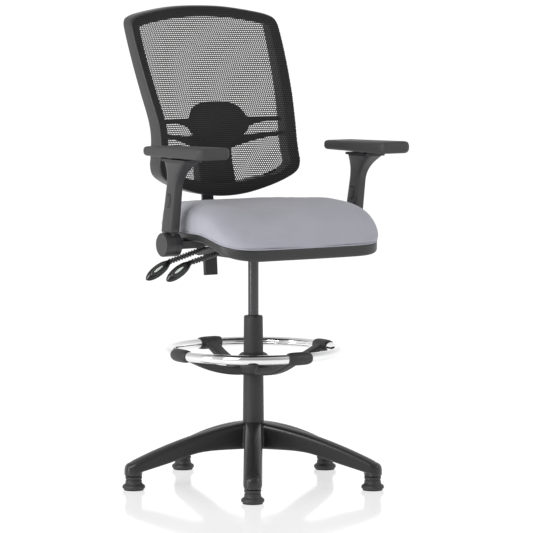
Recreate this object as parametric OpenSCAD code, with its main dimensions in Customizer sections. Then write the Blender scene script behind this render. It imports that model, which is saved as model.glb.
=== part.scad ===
// Drafting chair: five-star base on glides, tapered column with a foot ring,
// gas lift, two-lever mechanism, upholstered seat, folding height-adjustable
// arms and a mesh back. Millimetres. +Z up, the sitter faces -Y, and the origin
// is on the floor under the middle of the column.

/* [Base] */
// Radius of the circle that the five glides stand on
glide_circle_r = 330; // [300:5:350]
// Angle by which the base is turned under the seat
base_turn = -32.5; // [-36:0.5:36]
// Width of a base leg
leg_w = 50; // [44:1:56]
// Diameter of a glide's foot
glide_d = 60; // [50:1:64]

/* [Column] */
// Height of the column's top
column_top = 448; // [440:1:460]
// Outer diameter of the column at its top
column_top_d = 50.4; // [50:0.1:52]
// Outer diameter of the column where it enters the base
column_low_d = 56.4; // [54:0.1:58]
// Diameter of the gas lift's cylinder
lift_d = 28; // [28:1:28]

/* [Foot ring] */
// Radius of the foot ring's centre line
ring_r = 223; // [200:1:240]
// Diameter of the foot ring's tube
ring_d = 25; // [22:1:28]
// Height of the foot ring's centre line
ring_z = 357; // [350:1:362]

/* [Seat] */
// Width of the seat cushion
seat_w = 500; // [480:5:505]
// Depth of the seat, front to back
seat_depth = 480; // [460:5:490]
// How far the seat's middle lies in front of the column
seat_forward = 52; // [45:1:60]
// Height of the seam between pan and cushion at the rear
seam_rear_z = 683; // [681:1:685]
// Height of that seam at the front
seam_front_z = 649; // [645:1:655]

/* [Back] */
// Height of the back's top edge
back_top_z = 1265; // [1255:1:1275]
// Half the width of the back at its widest
back_half_w = 232; // [226:1:234]
// Lean of the back's upright bar, in degrees
bar_lean = 4.5; // [3:0.5:6]

/* [Arms] */
// Distance from the middle to the centre of an arm's sleeve
arm_x = 284; // [283:1:286]
// Forward lean of an arm, in degrees
arm_lean = 10.7; // [9:0.1:12]
// Length of an arm pad
pad_length = 288; // [270:1:292]
// Width of an arm pad
pad_w = 96; // [90:1:98]

/* [Hidden] */
$fn = 48;

// Colours
nylon = [0.10, 0.10, 0.105];
dark_steel = [0.16, 0.16, 0.17];
bright_steel = [0.62, 0.63, 0.65];
chrome = [0.85, 0.86, 0.88];
fabric = [0.60, 0.60, 0.66];
wood = [0.70, 0.55, 0.36];
felt = [0.22, 0.22, 0.22];

// Base
leg_count = 5;
hub_top = 168;
hub_bottom = 98;
hub_r = 36;
leg_end_top = 64;
socket_z = 36;
socket_r = 23;
stem_r = 5.5;
leg_wall = 4;

// Column and gas lift
tube_low_z = 100;
tube_bore_r = 22;
flange_h = 2.5;
bush_low_z = 380;
run_gap = 0.05;
lift_r = lift_d / 2;
cyl_low_z = 268;
cone_z = 600;
cyl_top_z = 630;
cone_top_r = 13.2;
rod_r = 5;
piston_z = 352;

// Mechanism
mech_half_w = 50;
mech_front = -105;
mech_rear = 112;
mech_z = 602;
plate_z = 650.8;
plate_t = 3;
plate_half_w = 92;
hinge_y = 88;
hinge_z = 622;
hinge_r = 6;
lever_pivot_x = -36;
lever_pivot_z = 640;
boss_r = 7;
height_lever_y = -72;
tilt_lever_y = 32;

// Seat
rim_front_h = 30;
rim_rear_h = 19;
pan_floor_t = 4;
pocket_z = 654;
board_z = 658.4;
board_t = 12;
seat_bolt_x = 75;
seat_bolt_y = [-75, 72];
arm_bolt_x = [118, 168];

// Back
bar_y = 222.5;
bar_z = 630;
bar_w = 34;
bar_t = 8;
bar_low = -87;
bar_high = 332;
back_lean_slope = 0.48;
back_low_slope = -0.04;
back_front_y = 106;
lumbar_bend_z = 940;
low_bend_z = 900;
bend_soft = 20;
back_mid_z = 1010;
back_low_z = 759;
mesh_gap = 0.4;
mesh_t = 1.2;

// Arms
pivot_y = -42;
pivot_z = 654;
barrel_r = 31;
barrel_split = 277;
barrel_end = 304.5;
sleeve_top_z = 872;

// ---- shared helpers -------------------------------------------------------

function lerp(a, b, t) = a + (b - a) * t;
function clamp01(t) = max(0, min(1, t));
function smooth(t) = let (u = clamp01(t)) u * u * (3 - 2 * u);
// A smooth ramp: near 0 below zero, near t above it
function ramp(t, soft) = soft * ln(1 + exp(t / soft));

// Points of a smooth closed curve through the given points
function spline_point(p0, p1, p2, p3, t) =
  0.5 * ((2 * p1) + (p2 - p0) * t + (2 * p0 - 5 * p1 + 4 * p2 - p3) * t * t
    + (3 * p1 - p0 - 3 * p2 + p3) * t * t * t);
function closed_spline(pts, steps) =
  let (n = len(pts))
  [for (i = [0 : n - 1], k = [0 : steps - 1])
    spline_point(pts[(i + n - 1) % n], pts[i], pts[(i + 1) % n], pts[(i + 2) % n], k / steps)];

// A solid through rings of points, each anticlockwise as seen from the far end;
// closed joins the last ring to the first
module loft(rings, closed = false) {
  n = len(rings[0]);
  m = len(rings);
  sides = [for (i = [0 : closed ? m - 1 : m - 2], j = [0 : n - 1])
    [i * n + j, ((i + 1) % m) * n + j, ((i + 1) % m) * n + (j + 1) % n, i * n + (j + 1) % n]];
  caps = closed ? [] : [[for (j = [0 : n - 1]) j], [for (j = [n - 1 : -1 : 0]) (m - 1) * n + j]];
  polyhedron(points = [for (r = rings) for (p = r) p], faces = concat(sides, caps), convexity = 6);
}

// A rounded rectangle of half sizes a and b as a list of points
function round_rect(a, b, r, steps = 4) =
  [for (q = [0 : 3], k = [0 : steps])
    let (
      ang = q * 90 + k * 90 / steps,
      cx = (q == 0 || q == 3) ? a - r : r - a,
      cy = (q < 2) ? b - r : r - b
    )
    [cx + r * cos(ang), cy + r * sin(ang)]];

module tube(r_out, r_in, h) {
  difference() {
    cylinder(r = r_out, h = h);
    translate([0, 0, -1]) cylinder(r = r_in, h = h + 2);
  }
}

module along_x(x0, x1, r) {
  translate([x0, 0, 0]) rotate([0, 90, 0]) cylinder(r = r, h = x1 - x0);
}

module each_leg() {
  for (i = [0 : leg_count - 1]) rotate([0, 0, base_turn + i * 360 / leg_count]) children();
}

module each_glide() {
  each_leg() translate([0, -glide_circle_r, 0]) children();
}

// A bolt standing head down: shank up from z = 0
module bolt_up(shank_r, shank_h, head_r, head_h) {
  cylinder(r = shank_r, h = shank_h);
  translate([0, 0, -head_h]) difference() {
    cylinder(r = head_r, h = head_h);
    translate([0, 0, -0.1]) cylinder(r = head_r * 0.5, h = head_h * 0.6, $fn = 6);
  }
}

// ---- base -----------------------------------------------------------------

function leg_top(r) = 170 - 0.12 * r - 0.00056 * r * r;
function leg_under(r) = hub_bottom - ramp(0.27 * (r - 150), 6);
leg_stations = [10 : 22 : 318];

module leg_profile(inset) {
  polygon(concat(
    [for (r = leg_stations) [r, leg_top(r) - inset]],
    [[glide_circle_r + 4 - inset, leg_end_top + 4 - inset],
     [glide_circle_r + 15 - inset, leg_end_top - 4 - inset],
     [glide_circle_r + 21 - inset, leg_end_top - 14],
     [glide_circle_r + socket_r - inset, socket_z + 8],
     [glide_circle_r - socket_r + 2, socket_z + 8]],
    [for (i = [10 : -1 : 0]) let (r = 10 + i * 28) [r, leg_under(r) - (inset > 0 ? 20 : 0)]]));
}

// A leg is a profile seen from the side, with its end rounded as seen from above
module leg_prism(w, inset) {
  intersection() {
    rotate([90, 0, -90]) linear_extrude(height = w, center = true) leg_profile(inset);
    linear_extrude(height = 220) {
      translate([-w / 2, -glide_circle_r]) square([w, glide_circle_r]);
      translate([0, -glide_circle_r]) circle(r = w / 2);
    }
  }
}

module base_star() {
  color(nylon) difference() {
    union() {
      each_leg() {
        difference() {
          leg_prism(leg_w, 0);
          difference() {
            leg_prism(leg_w - 2 * leg_wall, leg_wall);
            for (r = [110, 170, 230]) translate([-leg_w / 2, -r - 1.5, 0]) cube([leg_w, 3, 200]);
          }
        }
        translate([0, -glide_circle_r, socket_z]) cylinder(r = socket_r, h = 20);
      }
      translate([0, 0, hub_bottom]) cylinder(r = hub_r, h = hub_top - hub_bottom);
    }
    translate([0, 0, tube_low_z - 0.2])
      cylinder(r1 = 26.1, r2 = column_low_d / 2, h = hub_top - tube_low_z + 0.4);
    translate([0, 0, hub_top]) cylinder(r = column_low_d / 2 + 0.05, h = 10);
    translate([0, 0, hub_bottom - 1]) cylinder(r = 24, h = 10);
    translate([0, 0, hub_bottom - 1]) tube(hub_r - 2, hub_r - 5.2, 13);
    each_glide() translate([0, 0, socket_z - 1]) cylinder(r = stem_r, h = 21);
  }
}

module hub_ring() {
  color(bright_steel) translate([0, 0, hub_bottom + 0.2]) tube(hub_r - 2.1, hub_r - 5.1, 11.5);
}

module glide_bodies() {
  color(nylon) each_glide() difference() {
    rotate_extrude() polygon([
      [0, 3], [glide_d / 2 - 3, 3], [glide_d / 2, 6], [glide_d / 2, 11], [glide_d / 2 - 2.5, 14],
      [24, 16], [22, 19], [21.5, 26], [20, 27], [20, 29], [22, 30], [22, socket_z - 0.3], [0, socket_z - 0.3]]);
    translate([0, 0, 12]) cylinder(r = stem_r, h = 40);
  }
}

module glide_stems() {
  color(bright_steel) each_glide() translate([0, 0, 12.2]) {
    cylinder(r = stem_r - 0.1, h = 42);
  }
}

module glide_soles() {
  color(felt) each_glide() cylinder(r = glide_d / 2 - 4, h = 2.8);
}

module stand_tube() {
  color(nylon) rotate_extrude() polygon([
    [6, tube_low_z], [26, tube_low_z],
    [column_low_d / 2 - 0.1, hub_top], [column_low_d / 2 - 0.1, hub_top + 2],
    [column_top_d / 2, column_top - 2], [column_top_d / 2 - 0.8, column_top],
    [tube_bore_r, column_top], [tube_bore_r, tube_low_z + 4], [6, tube_low_z + 4]]);
}

module guide_bush() {
  r = lift_r + run_gap;
  color(nylon) rotate_extrude() polygon([
    [r, bush_low_z], [tube_bore_r - 0.05, bush_low_z], [tube_bore_r - 0.05, column_top + 0.1],
    [column_top_d / 2 - 0.6, column_top + 0.1], [column_top_d / 2 - 1.4, column_top + flange_h],
    [r + 1.2, column_top + flange_h], [r, column_top + flange_h - 1.2]]);
}

module rod_clip() {
  color(bright_steel) translate([0, 0, tube_low_z - 1.8]) difference() {
    tube(8.5, 3.1, 1.4);
    translate([0, -1.5, -1]) cube([12, 3, 4]);
  }
}

module thrust_bearing() {
  color(bright_steel) translate([0, 0, tube_low_z + 4.1]) {
    tube(13, 6.5, 1.6);
    for (a = [0 : 30 : 330]) rotate([0, 0, a]) translate([9.8, 0, 3.3]) sphere(r = 1.6, $fn = 20);
  }
}

module thrust_washer() {
  color(bright_steel) translate([0, 0, tube_low_z + 9.1]) tube(13, rod_r + 0.1, 2);
}

module piston_rod() {
  color(bright_steel) {
    translate([0, 0, tube_low_z - 3]) cylinder(r = 3, h = 20);
    translate([0, 0, tube_low_z + 11.2]) cylinder(r = rod_r, h = piston_z - tube_low_z - 11.2);
  }
}

module piston() {
  color(dark_steel) translate([0, 0, piston_z + 0.1]) rotate_extrude() polygon([
    [0, 0], [11.8, 0], [11.8, 3], [10.8, 3.5], [10.8, 6.5], [11.8, 7], [11.8, 10], [0, 10]]);
}

module gas_cylinder() {
  color(dark_steel) difference() {
    union() {
      translate([0, 0, cyl_low_z]) cylinder(r = lift_r, h = cone_z - cyl_low_z);
      translate([0, 0, cone_z]) cylinder(r1 = lift_r, r2 = cone_top_r, h = cyl_top_z - cone_z);
    }
    translate([0, 0, cyl_low_z + 14]) cylinder(r = 12, h = cyl_top_z - cyl_low_z - 24);
    translate([0, 0, cyl_low_z - 1]) cylinder(r = rod_r + run_gap, h = 20);
    translate([0, 0, cyl_top_z - 15]) cylinder(r = 4.05, h = 20);
  }
}

module valve_pin() {
  color(bright_steel) translate([0, 0, cyl_top_z - 6]) cylinder(r = 4, h = 14);
}

// ---- foot ring ------------------------------------------------------------

hub_low_z = 296;
ring_arm_w = 34;
clip_r = 17.5;
clip_angle = 14.5;
collet_r = 30.5;
column_gap_r = 27.7;

function arm_low(r) = hub_low_z + 52 * pow(clamp01((r - 40) / 172), 2);
function arm_high(r) = 320 + 46 * pow(clamp01((r - 60) / 152), 1.8);

module spider_arm() {
  stations = [for (i = [0 : 10]) 34 + i * 17.5];
  rotate([90, 0, -90]) linear_extrude(height = ring_arm_w, center = true)
    polygon(concat([for (r = stations) [r, arm_high(r)]],
      [for (i = [10 : -1 : 0]) [stations[i], arm_low(stations[i])]]));
}

module ring_spider() {
  color(nylon) difference() {
    union() {
      rotate_extrude() polygon([
        [collet_r + 0.1, hub_low_z], [44, hub_low_z], [50, hub_low_z + 6], [50, 318], [46, 326], [34, 348],
        [32.5, 352], [collet_r + 0.1, 352]]);
      for (a = [0 : 90 : 270]) rotate([0, 0, a]) {
        spider_arm();
        rotate([0, 0, -90 - clip_angle / 2]) rotate_extrude(angle = clip_angle)
          translate([ring_r, ring_z]) circle(r = clip_r);
      }
    }
    rotate_extrude() translate([ring_r, ring_z]) circle(r = ring_d / 2 + 0.02);
    translate([0, 0, hub_low_z - 1]) cylinder(r = collet_r + 0.1, h = 80);
    translate([0, 0, 309]) rotate([-90, 0, 45]) cylinder(r = 4.1, h = 80);
  }
}

module ring_tube() {
  color(chrome) rotate_extrude() translate([ring_r, ring_z]) difference() {
    circle(r = ring_d / 2);
    circle(r = ring_d / 2 - 1.5);
  }
}

module ring_collet() {
  color(nylon) difference() {
    translate([0, 0, hub_low_z + 0.5]) tube(collet_r, column_gap_r, 55);
    translate([0, -1.5, hub_low_z - 1]) cube([60, 3, 80]);
  }
}

module ring_knob() {
  color(nylon) translate([0, 0, 309]) rotate([-90, 0, 45]) {
    translate([0, 0, collet_r + 0.4]) cylinder(r = 4, h = 26);
    translate([0, 0, 53]) difference() {
      cylinder(r = 15, h = 16);
      for (a = [0 : 45 : 315]) rotate([0, 0, a]) translate([17, 0, -1]) cylinder(r = 3.6, h = 20);
    }
  }
}

// ---- mechanism ------------------------------------------------------------

module mechanism_body() {
  wall = 3;
  color(dark_steel) difference() {
    union() {
      translate([-mech_half_w, mech_front, mech_z])
        cube([2 * mech_half_w, mech_rear - mech_front, plate_z - mech_z]);
      translate([-plate_half_w, mech_front + 1, plate_z])
        cube([2 * plate_half_w, mech_rear - mech_front - 1, plate_t]);
    }
    translate([-mech_half_w + wall, mech_front + wall, mech_z + wall])
      cube([2 * (mech_half_w - wall), mech_rear - mech_front + 10, plate_z - mech_z - wall]);
    translate([-30, 30, mech_z - 1]) cube([60, 100, 10]);
    translate([-mech_half_w + wall, 62, mech_z - 1]) cube([2 * (mech_half_w - wall), 80, 10]);
    translate([0, 0, mech_z - 1]) cylinder(r = 19.1, h = 10);
    translate([0, hinge_y, hinge_z]) along_x(-60, 60, hinge_r);
    for (y = [height_lever_y, tilt_lever_y]) translate([0, y, lever_pivot_z]) along_x(-55, -45, 6.5);
    for (x = [-seat_bolt_x, seat_bolt_x], y = seat_bolt_y)
      translate([x, y, plate_z - 1]) cylinder(r = bolt_hole_r, h = 6);
    for (x = [-30, 30]) translate([x, -40, plate_z - 1]) cylinder(r = 11, h = 6);
  }
}

module taper_bush() {
  color(bright_steel) difference() {
    translate([0, 0, cone_z + 0.5]) cylinder(r = 19, h = 27);
    translate([0, 0, cone_z]) cylinder(r1 = lift_r, r2 = cone_top_r, h = cyl_top_z - cone_z);
  }
}

module hinge_pin() {
  color(bright_steel) translate([0, hinge_y, hinge_z]) {
    along_x(-54, 54, hinge_r - 0.05);
    along_x(-56.5, -54, 9);
    along_x(54, 56.5, 9);
  }
}

// A torsion spring: a round wire wound round the hinge pin, with two straight legs
spring_turns = 6;
spring_r = 10.5;
spring_pitch = 4.2;
wire_r = 1.5;
module back_spring() {
  steps = 16;
  count = spring_turns * steps;
  path = concat(
    [[-spring_turns * spring_pitch / 2, -34, spring_r]],
    [for (i = [0 : count]) let (a = i * 360 / steps)
      [(i / steps - spring_turns / 2) * spring_pitch, -spring_r * sin(a), spring_r * cos(a)]],
    [[spring_turns * spring_pitch / 2, 30, spring_r]]);
  color(bright_steel) translate([0, hinge_y, hinge_z]) loft([for (i = [0 : len(path) - 1])
    let (
      before = path[max(i - 1, 0)],
      after = path[min(i + 1, len(path) - 1)],
      d = (after - before) / norm(after - before),
      u = [1, 0, 0] - d * d[0],
      e1 = u / norm(u),
      e2 = cross(d, e1)
    )
    [for (k = [0 : 5]) path[i] + wire_r * (e1 * cos(k * 60) + e2 * sin(k * 60))]]);
}

// ---- levers ---------------------------------------------------------------

lever_bend_x = -102;
bellows_tip_x = -238;
height_lever_drop = 13.5;
tilt_lever_drop = 15.5;
paddle_drop = 32;
rod_wire_r = 3.5;
knuckle_r = 4.2;
knuckle_w = 7;
rod_tip_len = 34;
rod_end_gap = 3;
boss_w = 10;
blade_z = 638.9;
blade_t = 3;
blade_w = 14;

function bellows_len(drop) = (lever_bend_x - bellows_tip_x) / cos(drop);
function bellows_tip_z(drop) = lever_pivot_z + (bellows_tip_x - lever_bend_x) * tan(drop);

// Children are drawn along +Z from the joint outwards
module lever_neck(y, drop) {
  translate([lever_bend_x, y, lever_pivot_z]) rotate([0, -90 - drop, 0]) children();
}

module lever_tip(y, drop) {
  translate([bellows_tip_x, y, bellows_tip_z(drop)]) rotate([0, -90 - paddle_drop, 0]) children();
}

// A short collar where the wire bends, at the middle angle of the bend
module knuckle(drop) {
  rotate([0, -drop, 0]) along_x(-knuckle_w / 2, knuckle_w / 2, knuckle_r);
}

module lever_rod(y, drop) {
  translate([0, y, lever_pivot_z]) along_x(lever_bend_x, lever_pivot_x - rod_end_gap, rod_wire_r);
  translate([lever_bend_x, y, lever_pivot_z]) knuckle(drop / 2);
  lever_neck(y, drop) cylinder(r = rod_wire_r, h = bellows_len(drop));
  translate([bellows_tip_x, y, bellows_tip_z(drop)]) knuckle((drop + paddle_drop) / 2);
  lever_tip(y, drop) cylinder(r = rod_wire_r, h = rod_tip_len);
  translate([lever_pivot_x, y - boss_w / 2, lever_pivot_z])
    rotate([-90, 0, 0]) cylinder(r = boss_r, h = boss_w);
}

// The height lever's rod carries a blade that reaches over the valve pin
module height_lever_rod() {
  color(bright_steel) {
    lever_rod(height_lever_y, height_lever_drop);
    translate([lever_pivot_x - 6, height_lever_y - 5, blade_z])
      cube([12, 12 - height_lever_y, blade_t]);
    translate([lever_pivot_x - 6, -blade_w / 2, blade_z]) cube([50, blade_w, blade_t]);
  }
}

// The tilt lever's rod ends in a short finger
module tilt_lever_rod() {
  color(bright_steel) {
    lever_rod(tilt_lever_y, tilt_lever_drop);
    translate([lever_pivot_x - 6, tilt_lever_y - 5, blade_z]) cube([26, 10, blade_t]);
  }
}

rib_pitch = 6.8;
rib_r = 7.6;
groove_r = 5;
bellows_start = 5;
module bellows(y, drop) {
  count = floor(bellows_len(drop) / rib_pitch) - 1;
  bore_r = rod_wire_r + 0.1;
  color(nylon) lever_neck(y, drop) rotate_extrude() polygon(concat(
    [[bore_r, bellows_start]],
    [for (i = [0 : count - 1])
      let (z = bellows_start + i * rib_pitch)
      each [[groove_r, z], [rib_r, z + 1.8], [rib_r, z + 3.6], [groove_r, z + 5.4]]],
    [[bore_r, bellows_start + 5.4 + (count - 1) * rib_pitch]]));
}

// A leaf-shaped paddle whose broad face looks forward and a little up
paddle_len = 84;
paddle_half = [[4, 8], [12, 11], [22, 13.4], [36, 14.6], [50, 14], [61, 12], [70, 9], [77, 5.5], [82, 2.5],
  [paddle_len, 1]];
paddle_twist = -55;
function paddle_flat(z) = lerp(0.76, 0.52, smooth(z / 25));
module paddle(y, drop) {
  color(nylon) lever_tip(y, drop) difference() {
    rotate([0, 0, paddle_twist]) loft([for (p = paddle_half)
      [for (a = [0 : 22.5 : 337.5]) [paddle_flat(p[0]) * p[1] * cos(a), p[1] * sin(a), p[0]]]]);
    cylinder(r = rod_wire_r + 0.05, h = rod_tip_len + 0.1);
  }
}

// ---- seat -----------------------------------------------------------------

seat_mid_y = -seat_forward;

// Half of the seat's outline: distance from the middle, and from the front edge
seat_half = [
  [110, 0], [196, 12], [240, 56], [251, 125], [249, 215],
  [240, 300], [229, 365], [207, 425], [160, 465], [90, 479]];
seat_half_top = 251;
seat_points = concat([for (p = seat_half) p],
  [for (i = [len(seat_half) - 1 : -1 : 0]) [-seat_half[i][0], seat_half[i][1]]]);

// The seam drops towards the front, and the pan's rim is deeper there
function seam_z(y) = lerp(seam_front_z, seam_rear_z, smooth((y + 305) / 190));
function rim_h(y) = lerp(rim_front_h, rim_rear_h, smooth((y + 300) / 170));
function seat_outline(grow) =
  [for (p = closed_spline(seat_points, 4))
    [p[0] * (seat_w / 2 + grow) / seat_half_top,
     seat_mid_y + (p[1] - 240) * (seat_depth / 2 + grow) / 240]];
seam_stations = [-300 : 15 : -105];
slab_rear_y = 260;
function seam_line(dz) = concat(
  [for (y = seam_stations) [y, seam_z(y) + dz]], [[slab_rear_y, seam_rear_z + dz]]);
function under_line(dz) = concat(
  [for (y = seam_stations) [y, seam_z(y) - rim_h(y) + dz]], [[slab_rear_y, seam_rear_z - rim_rear_h + dz]]);

module outline_prism(grow) {
  translate([0, 0, 560]) linear_extrude(height = 240) polygon(seat_outline(grow));
}

// A slab across the seat between a lower and an upper line, given in the Y-Z plane
module side_slab(lower, upper) {
  rotate([90, 0, 90]) linear_extrude(height = 700, center = true)
    polygon(concat(lower, [for (i = [len(upper) - 1 : -1 : 0]) upper[i]]));
}

board_half_w = 186;
board_front = -118;
board_rear = 132;
bolt_hole_r = 3.3;
nut_hole_r = 4.6;
flange_r = 9;
nut_flange_t = 1.2;

// A box round the seat board, grown sideways, between two heights
module board_box(grow, z0, z1) {
  translate([-board_half_w - grow, board_front - grow, z0])
    cube([2 * (board_half_w + grow), board_rear - board_front + 2 * grow, z1 - z0]);
}

module seat_pan() {
  color(nylon) difference() {
    union() {
      intersection() {
        outline_prism(-4);
        side_slab(under_line(0), seam_line(0));
      }
      board_box(pan_floor_t + 1, pocket_z, seam_rear_z - rim_rear_h + 2);
    }
    intersection() {
      outline_prism(-8);
      side_slab(under_line(pan_floor_t), seam_line(5));
    }
    board_box(1, pocket_z + pan_floor_t + 0.2, seam_rear_z);
    for (p = seat_bolt_places) translate([p[0], p[1], 640]) cylinder(r = bolt_hole_r, h = 40);
  }
}

seat_bolt_places = concat(
  [for (x = [-seat_bolt_x, seat_bolt_x], y = seat_bolt_y) [x, y]],
  [for (s = [-1, 1], x = arm_bolt_x) [s * x, pivot_y]]);
module seat_board() {
  color(wood) difference() {
    board_box(0, board_z, board_z + board_t);
    for (p = seat_bolt_places) translate([p[0], p[1], 650]) {
      cylinder(r = nut_hole_r, h = 40);
      translate([0, 0, board_z + board_t - nut_flange_t - 0.05 - 650]) cylinder(r = flange_r + 0.05, h = 10);
    }
  }
}

cushion_top = [
  [-300, 655], [-288, 672], [-268, 690], [-238, 707], [-195, 722], [-140, 732], [-60, 738], [30, 742],
  [95, 746], [128, 748], [148, 748], [164, 744], [177, 734], [186, 717], [190, 698], [191, 684]];
soft_gap = 0.3;

// The foam fills the pan down to the board
module seat_cushion() {
  color(fabric) {
    intersection() {
      outline_prism(0);
      side_slab(seam_line(soft_gap), cushion_top);
    }
    board_box(-2, board_z + board_t + soft_gap, seam_rear_z + 2);
  }
}

module seat_bolts() {
  color(bright_steel) for (x = [-seat_bolt_x, seat_bolt_x], y = seat_bolt_y)
    translate([x, y, plate_z - 0.1]) bolt_up(3, 18, 6.5, 2.5);
}

module tee_nut() {
  tube(nut_hole_r - 0.1, 3.05, 9);
  translate([0, 0, 9]) tube(flange_r, 3.05, nut_flange_t);
}

module tee_nuts() {
  color(bright_steel) for (p = seat_bolt_places)
    translate([p[0], p[1], board_z + board_t - nut_flange_t - 9]) tee_nut();
}

// ---- arms -----------------------------------------------------------------

arm_bar_top = 653.8;
arm_bar_t = 6;
arm_bar_w = 44;
cover_low_z = 643;
cover_high_z = 663;

module for_side(side) {
  if (side > 0) children();
  else mirror([1, 0, 0]) children();
}

// Children in the arm's own frame: origin on the pivot, Z along the leaning post
module arm_frame() {
  translate([0, pivot_y, pivot_z]) rotate([arm_lean, 0, 0]) children();
}

module arm_bracket(side) {
  color(dark_steel) for_side(side) difference() {
    union() {
      translate([96, pivot_y - arm_bar_w / 2, arm_bar_top - arm_bar_t]) cube([170, arm_bar_w, arm_bar_t]);
      translate([0, pivot_y, pivot_z]) along_x(262, barrel_split - 0.2, barrel_r);
    }
    translate([0, pivot_y, pivot_z]) along_x(250, 280, 8);
    for (x = arm_bolt_x) translate([x, pivot_y, 640]) cylinder(r = bolt_hole_r, h = 30);
  }
}

module bracket_covers() {
  color(nylon) for (s = [-1, 1]) for_side(s) difference() {
    translate([200, pivot_y - 24.5, cover_low_z]) cube([61.8, 49, cover_high_z - cover_low_z]);
    translate([199, pivot_y - arm_bar_w / 2 - 0.2, arm_bar_top - arm_bar_t - 0.2])
      cube([70, arm_bar_w + 0.4, arm_bar_t + 0.4]);
  }
}

module arm_bolts() {
  color(bright_steel) for (s = [-1, 1], x = arm_bolt_x)
    translate([s * x, pivot_y, arm_bar_top - arm_bar_t - 0.1]) bolt_up(3, 20, 6.5, 4);
}

module arm_pins() {
  color(bright_steel) for (s = [-1, 1]) for_side(s) translate([0, pivot_y, pivot_z]) along_x(263, 302, 7.95);
}

post_x0 = 278;
post_x1 = 289;
module arm_hub(side) {
  color(nylon) for_side(side) difference() {
    union() {
      translate([0, pivot_y, pivot_z]) along_x(barrel_split + 0.2, barrel_end, barrel_r);
      translate([0, pivot_y, pivot_z]) along_x(barrel_end, barrel_end + 2, barrel_r - 2);
      arm_frame() translate([post_x0, -16, 15]) cube([post_x1 - post_x0, 32, 145]);
    }
    translate([0, pivot_y, pivot_z]) along_x(270, 302.2, 8);
    arm_frame() for (d = [70 : 12 : 142]) translate([post_x0 - 1, -18, d]) cube([20, 5, 5]);
  }
}

sleeve_low_z = 687;
sleeve_stations = [sleeve_low_z, 740, 800, 812, 824, 836, 846, 854, 860, 864, sleeve_top_z];
function sleeve_flare(z) = pow(clamp01((z - 800) / (sleeve_top_z - 800)), 2.4);
function sleeve_y(z) = pivot_y - (z - pivot_z) * tan(arm_lean) - 22 * sleeve_flare(z);
function sleeve_half_w(z) = lerp(lerp(15.5, 13.5, clamp01((z - 690) / 150)), 27, sleeve_flare(z));
function sleeve_half_l(z) = lerp(lerp(26, 22, clamp01((z - 690) / 150)), 56, sleeve_flare(z));
function sleeve_ring(z) =
  [for (p = round_rect(sleeve_half_w(z), sleeve_half_l(z), 10)) [arm_x + p[0], sleeve_y(z) + p[1], z]];

// The button sits on the face that looks to -X on both arms
button_d = 118;
module button_shape(grow) {
  hull_w = 9 + grow;
  union() {
    for (s = [-1, 1]) translate([0, s * 8]) circle(r = hull_w);
    square([2 * hull_w, 16], center = true);
  }
}

// Side faces of the sleeve that carry the button: outer on the right arm, inner on the left
module button_prism(side, x0, x1, grow) {
  arm_frame() translate([0, 0, button_d]) rotate([90, 0, 90]) translate([0, 0, x0])
    linear_extrude(height = x1 - x0) button_shape(grow);
}

module arm_sleeve(side) {
  color(nylon) difference() {
    for_side(side) difference() {
      loft([for (z = sleeve_stations) sleeve_ring(z)]);
      arm_frame() translate([post_x0 - 0.5, -16.5, 0]) cube([post_x1 - post_x0 + 1, 33, 168]);
    }
    if (side > 0) button_prism(side, 260, 274.5, 0.5);
    else button_prism(side, -305, -293.5, 0.5);
  }
}

module arm_button(side) {
  color(nylon) if (side > 0) button_prism(side, 267.5, 271, 0);
  else button_prism(side, -300.5, -297, 0);
}

plate_mid_y = sleeve_y(sleeve_top_z);
module arm_plate(side) {
  color(dark_steel) for_side(side) translate([arm_x, plate_mid_y, sleeve_top_z + 0.1]) {
    linear_extrude(height = 6) polygon(round_rect(29, 59, 12));
    for (y = [-40, 0, 40]) translate([0, y, 6]) cylinder(r = 3, h = 8);
  }
}

pad_low_z = 882.5;
pad_high_z = 915;
pad_rear_drop = 7;
pad_x = 280;
pad_mid_y = -121;
pad_rear = pad_length / 2;
pad_corner_r = 13;
pad_front_r = 26;
function corner_arc(x, y, r, a0) = [for (k = [0 : 5]) [x + r * cos(a0 + k * 18), y + r * sin(a0 + k * 18)]];

// Outline of the pad, with +X outwards: the outer front corner is the roundest
pad_points = concat(
  corner_arc(pad_w / 2 - pad_corner_r, pad_rear - pad_corner_r, pad_corner_r, 0),
  corner_arc(pad_corner_r - pad_w / 2, pad_rear - pad_corner_r, pad_corner_r, 90),
  corner_arc(pad_corner_r - pad_w / 2, pad_corner_r - pad_rear, pad_corner_r, 180),
  corner_arc(pad_w / 2 - pad_front_r, pad_front_r - pad_rear, pad_front_r, 270));

// The pad's top falls a little towards the rear
module arm_pad(side) {
  color(nylon) for_side(side) difference() {
    intersection() {
      translate([pad_x, pad_mid_y, pad_low_z]) linear_extrude(height = pad_high_z - pad_low_z + 10)
        polygon(pad_points);
      rotate([90, 0, 90]) linear_extrude(height = 400) polygon([
        [pad_mid_y - pad_rear, pad_low_z - 1], [pad_mid_y + pad_rear, pad_low_z - 1],
        [pad_mid_y + pad_rear, pad_high_z - pad_rear_drop], [pad_mid_y - pad_rear, pad_high_z]]);
    }
    for (y = [-40, 0, 40]) translate([arm_x, plate_mid_y + y, pad_low_z - 1]) cylinder(r = 3.05, h = 10);
  }
}

// ---- back -----------------------------------------------------------------

// Children in the bar's own frame: Z along the bar
module bar_frame() {
  translate([0, bar_y, bar_z]) rotate([-bar_lean, 0, 0]) children();
}

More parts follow.
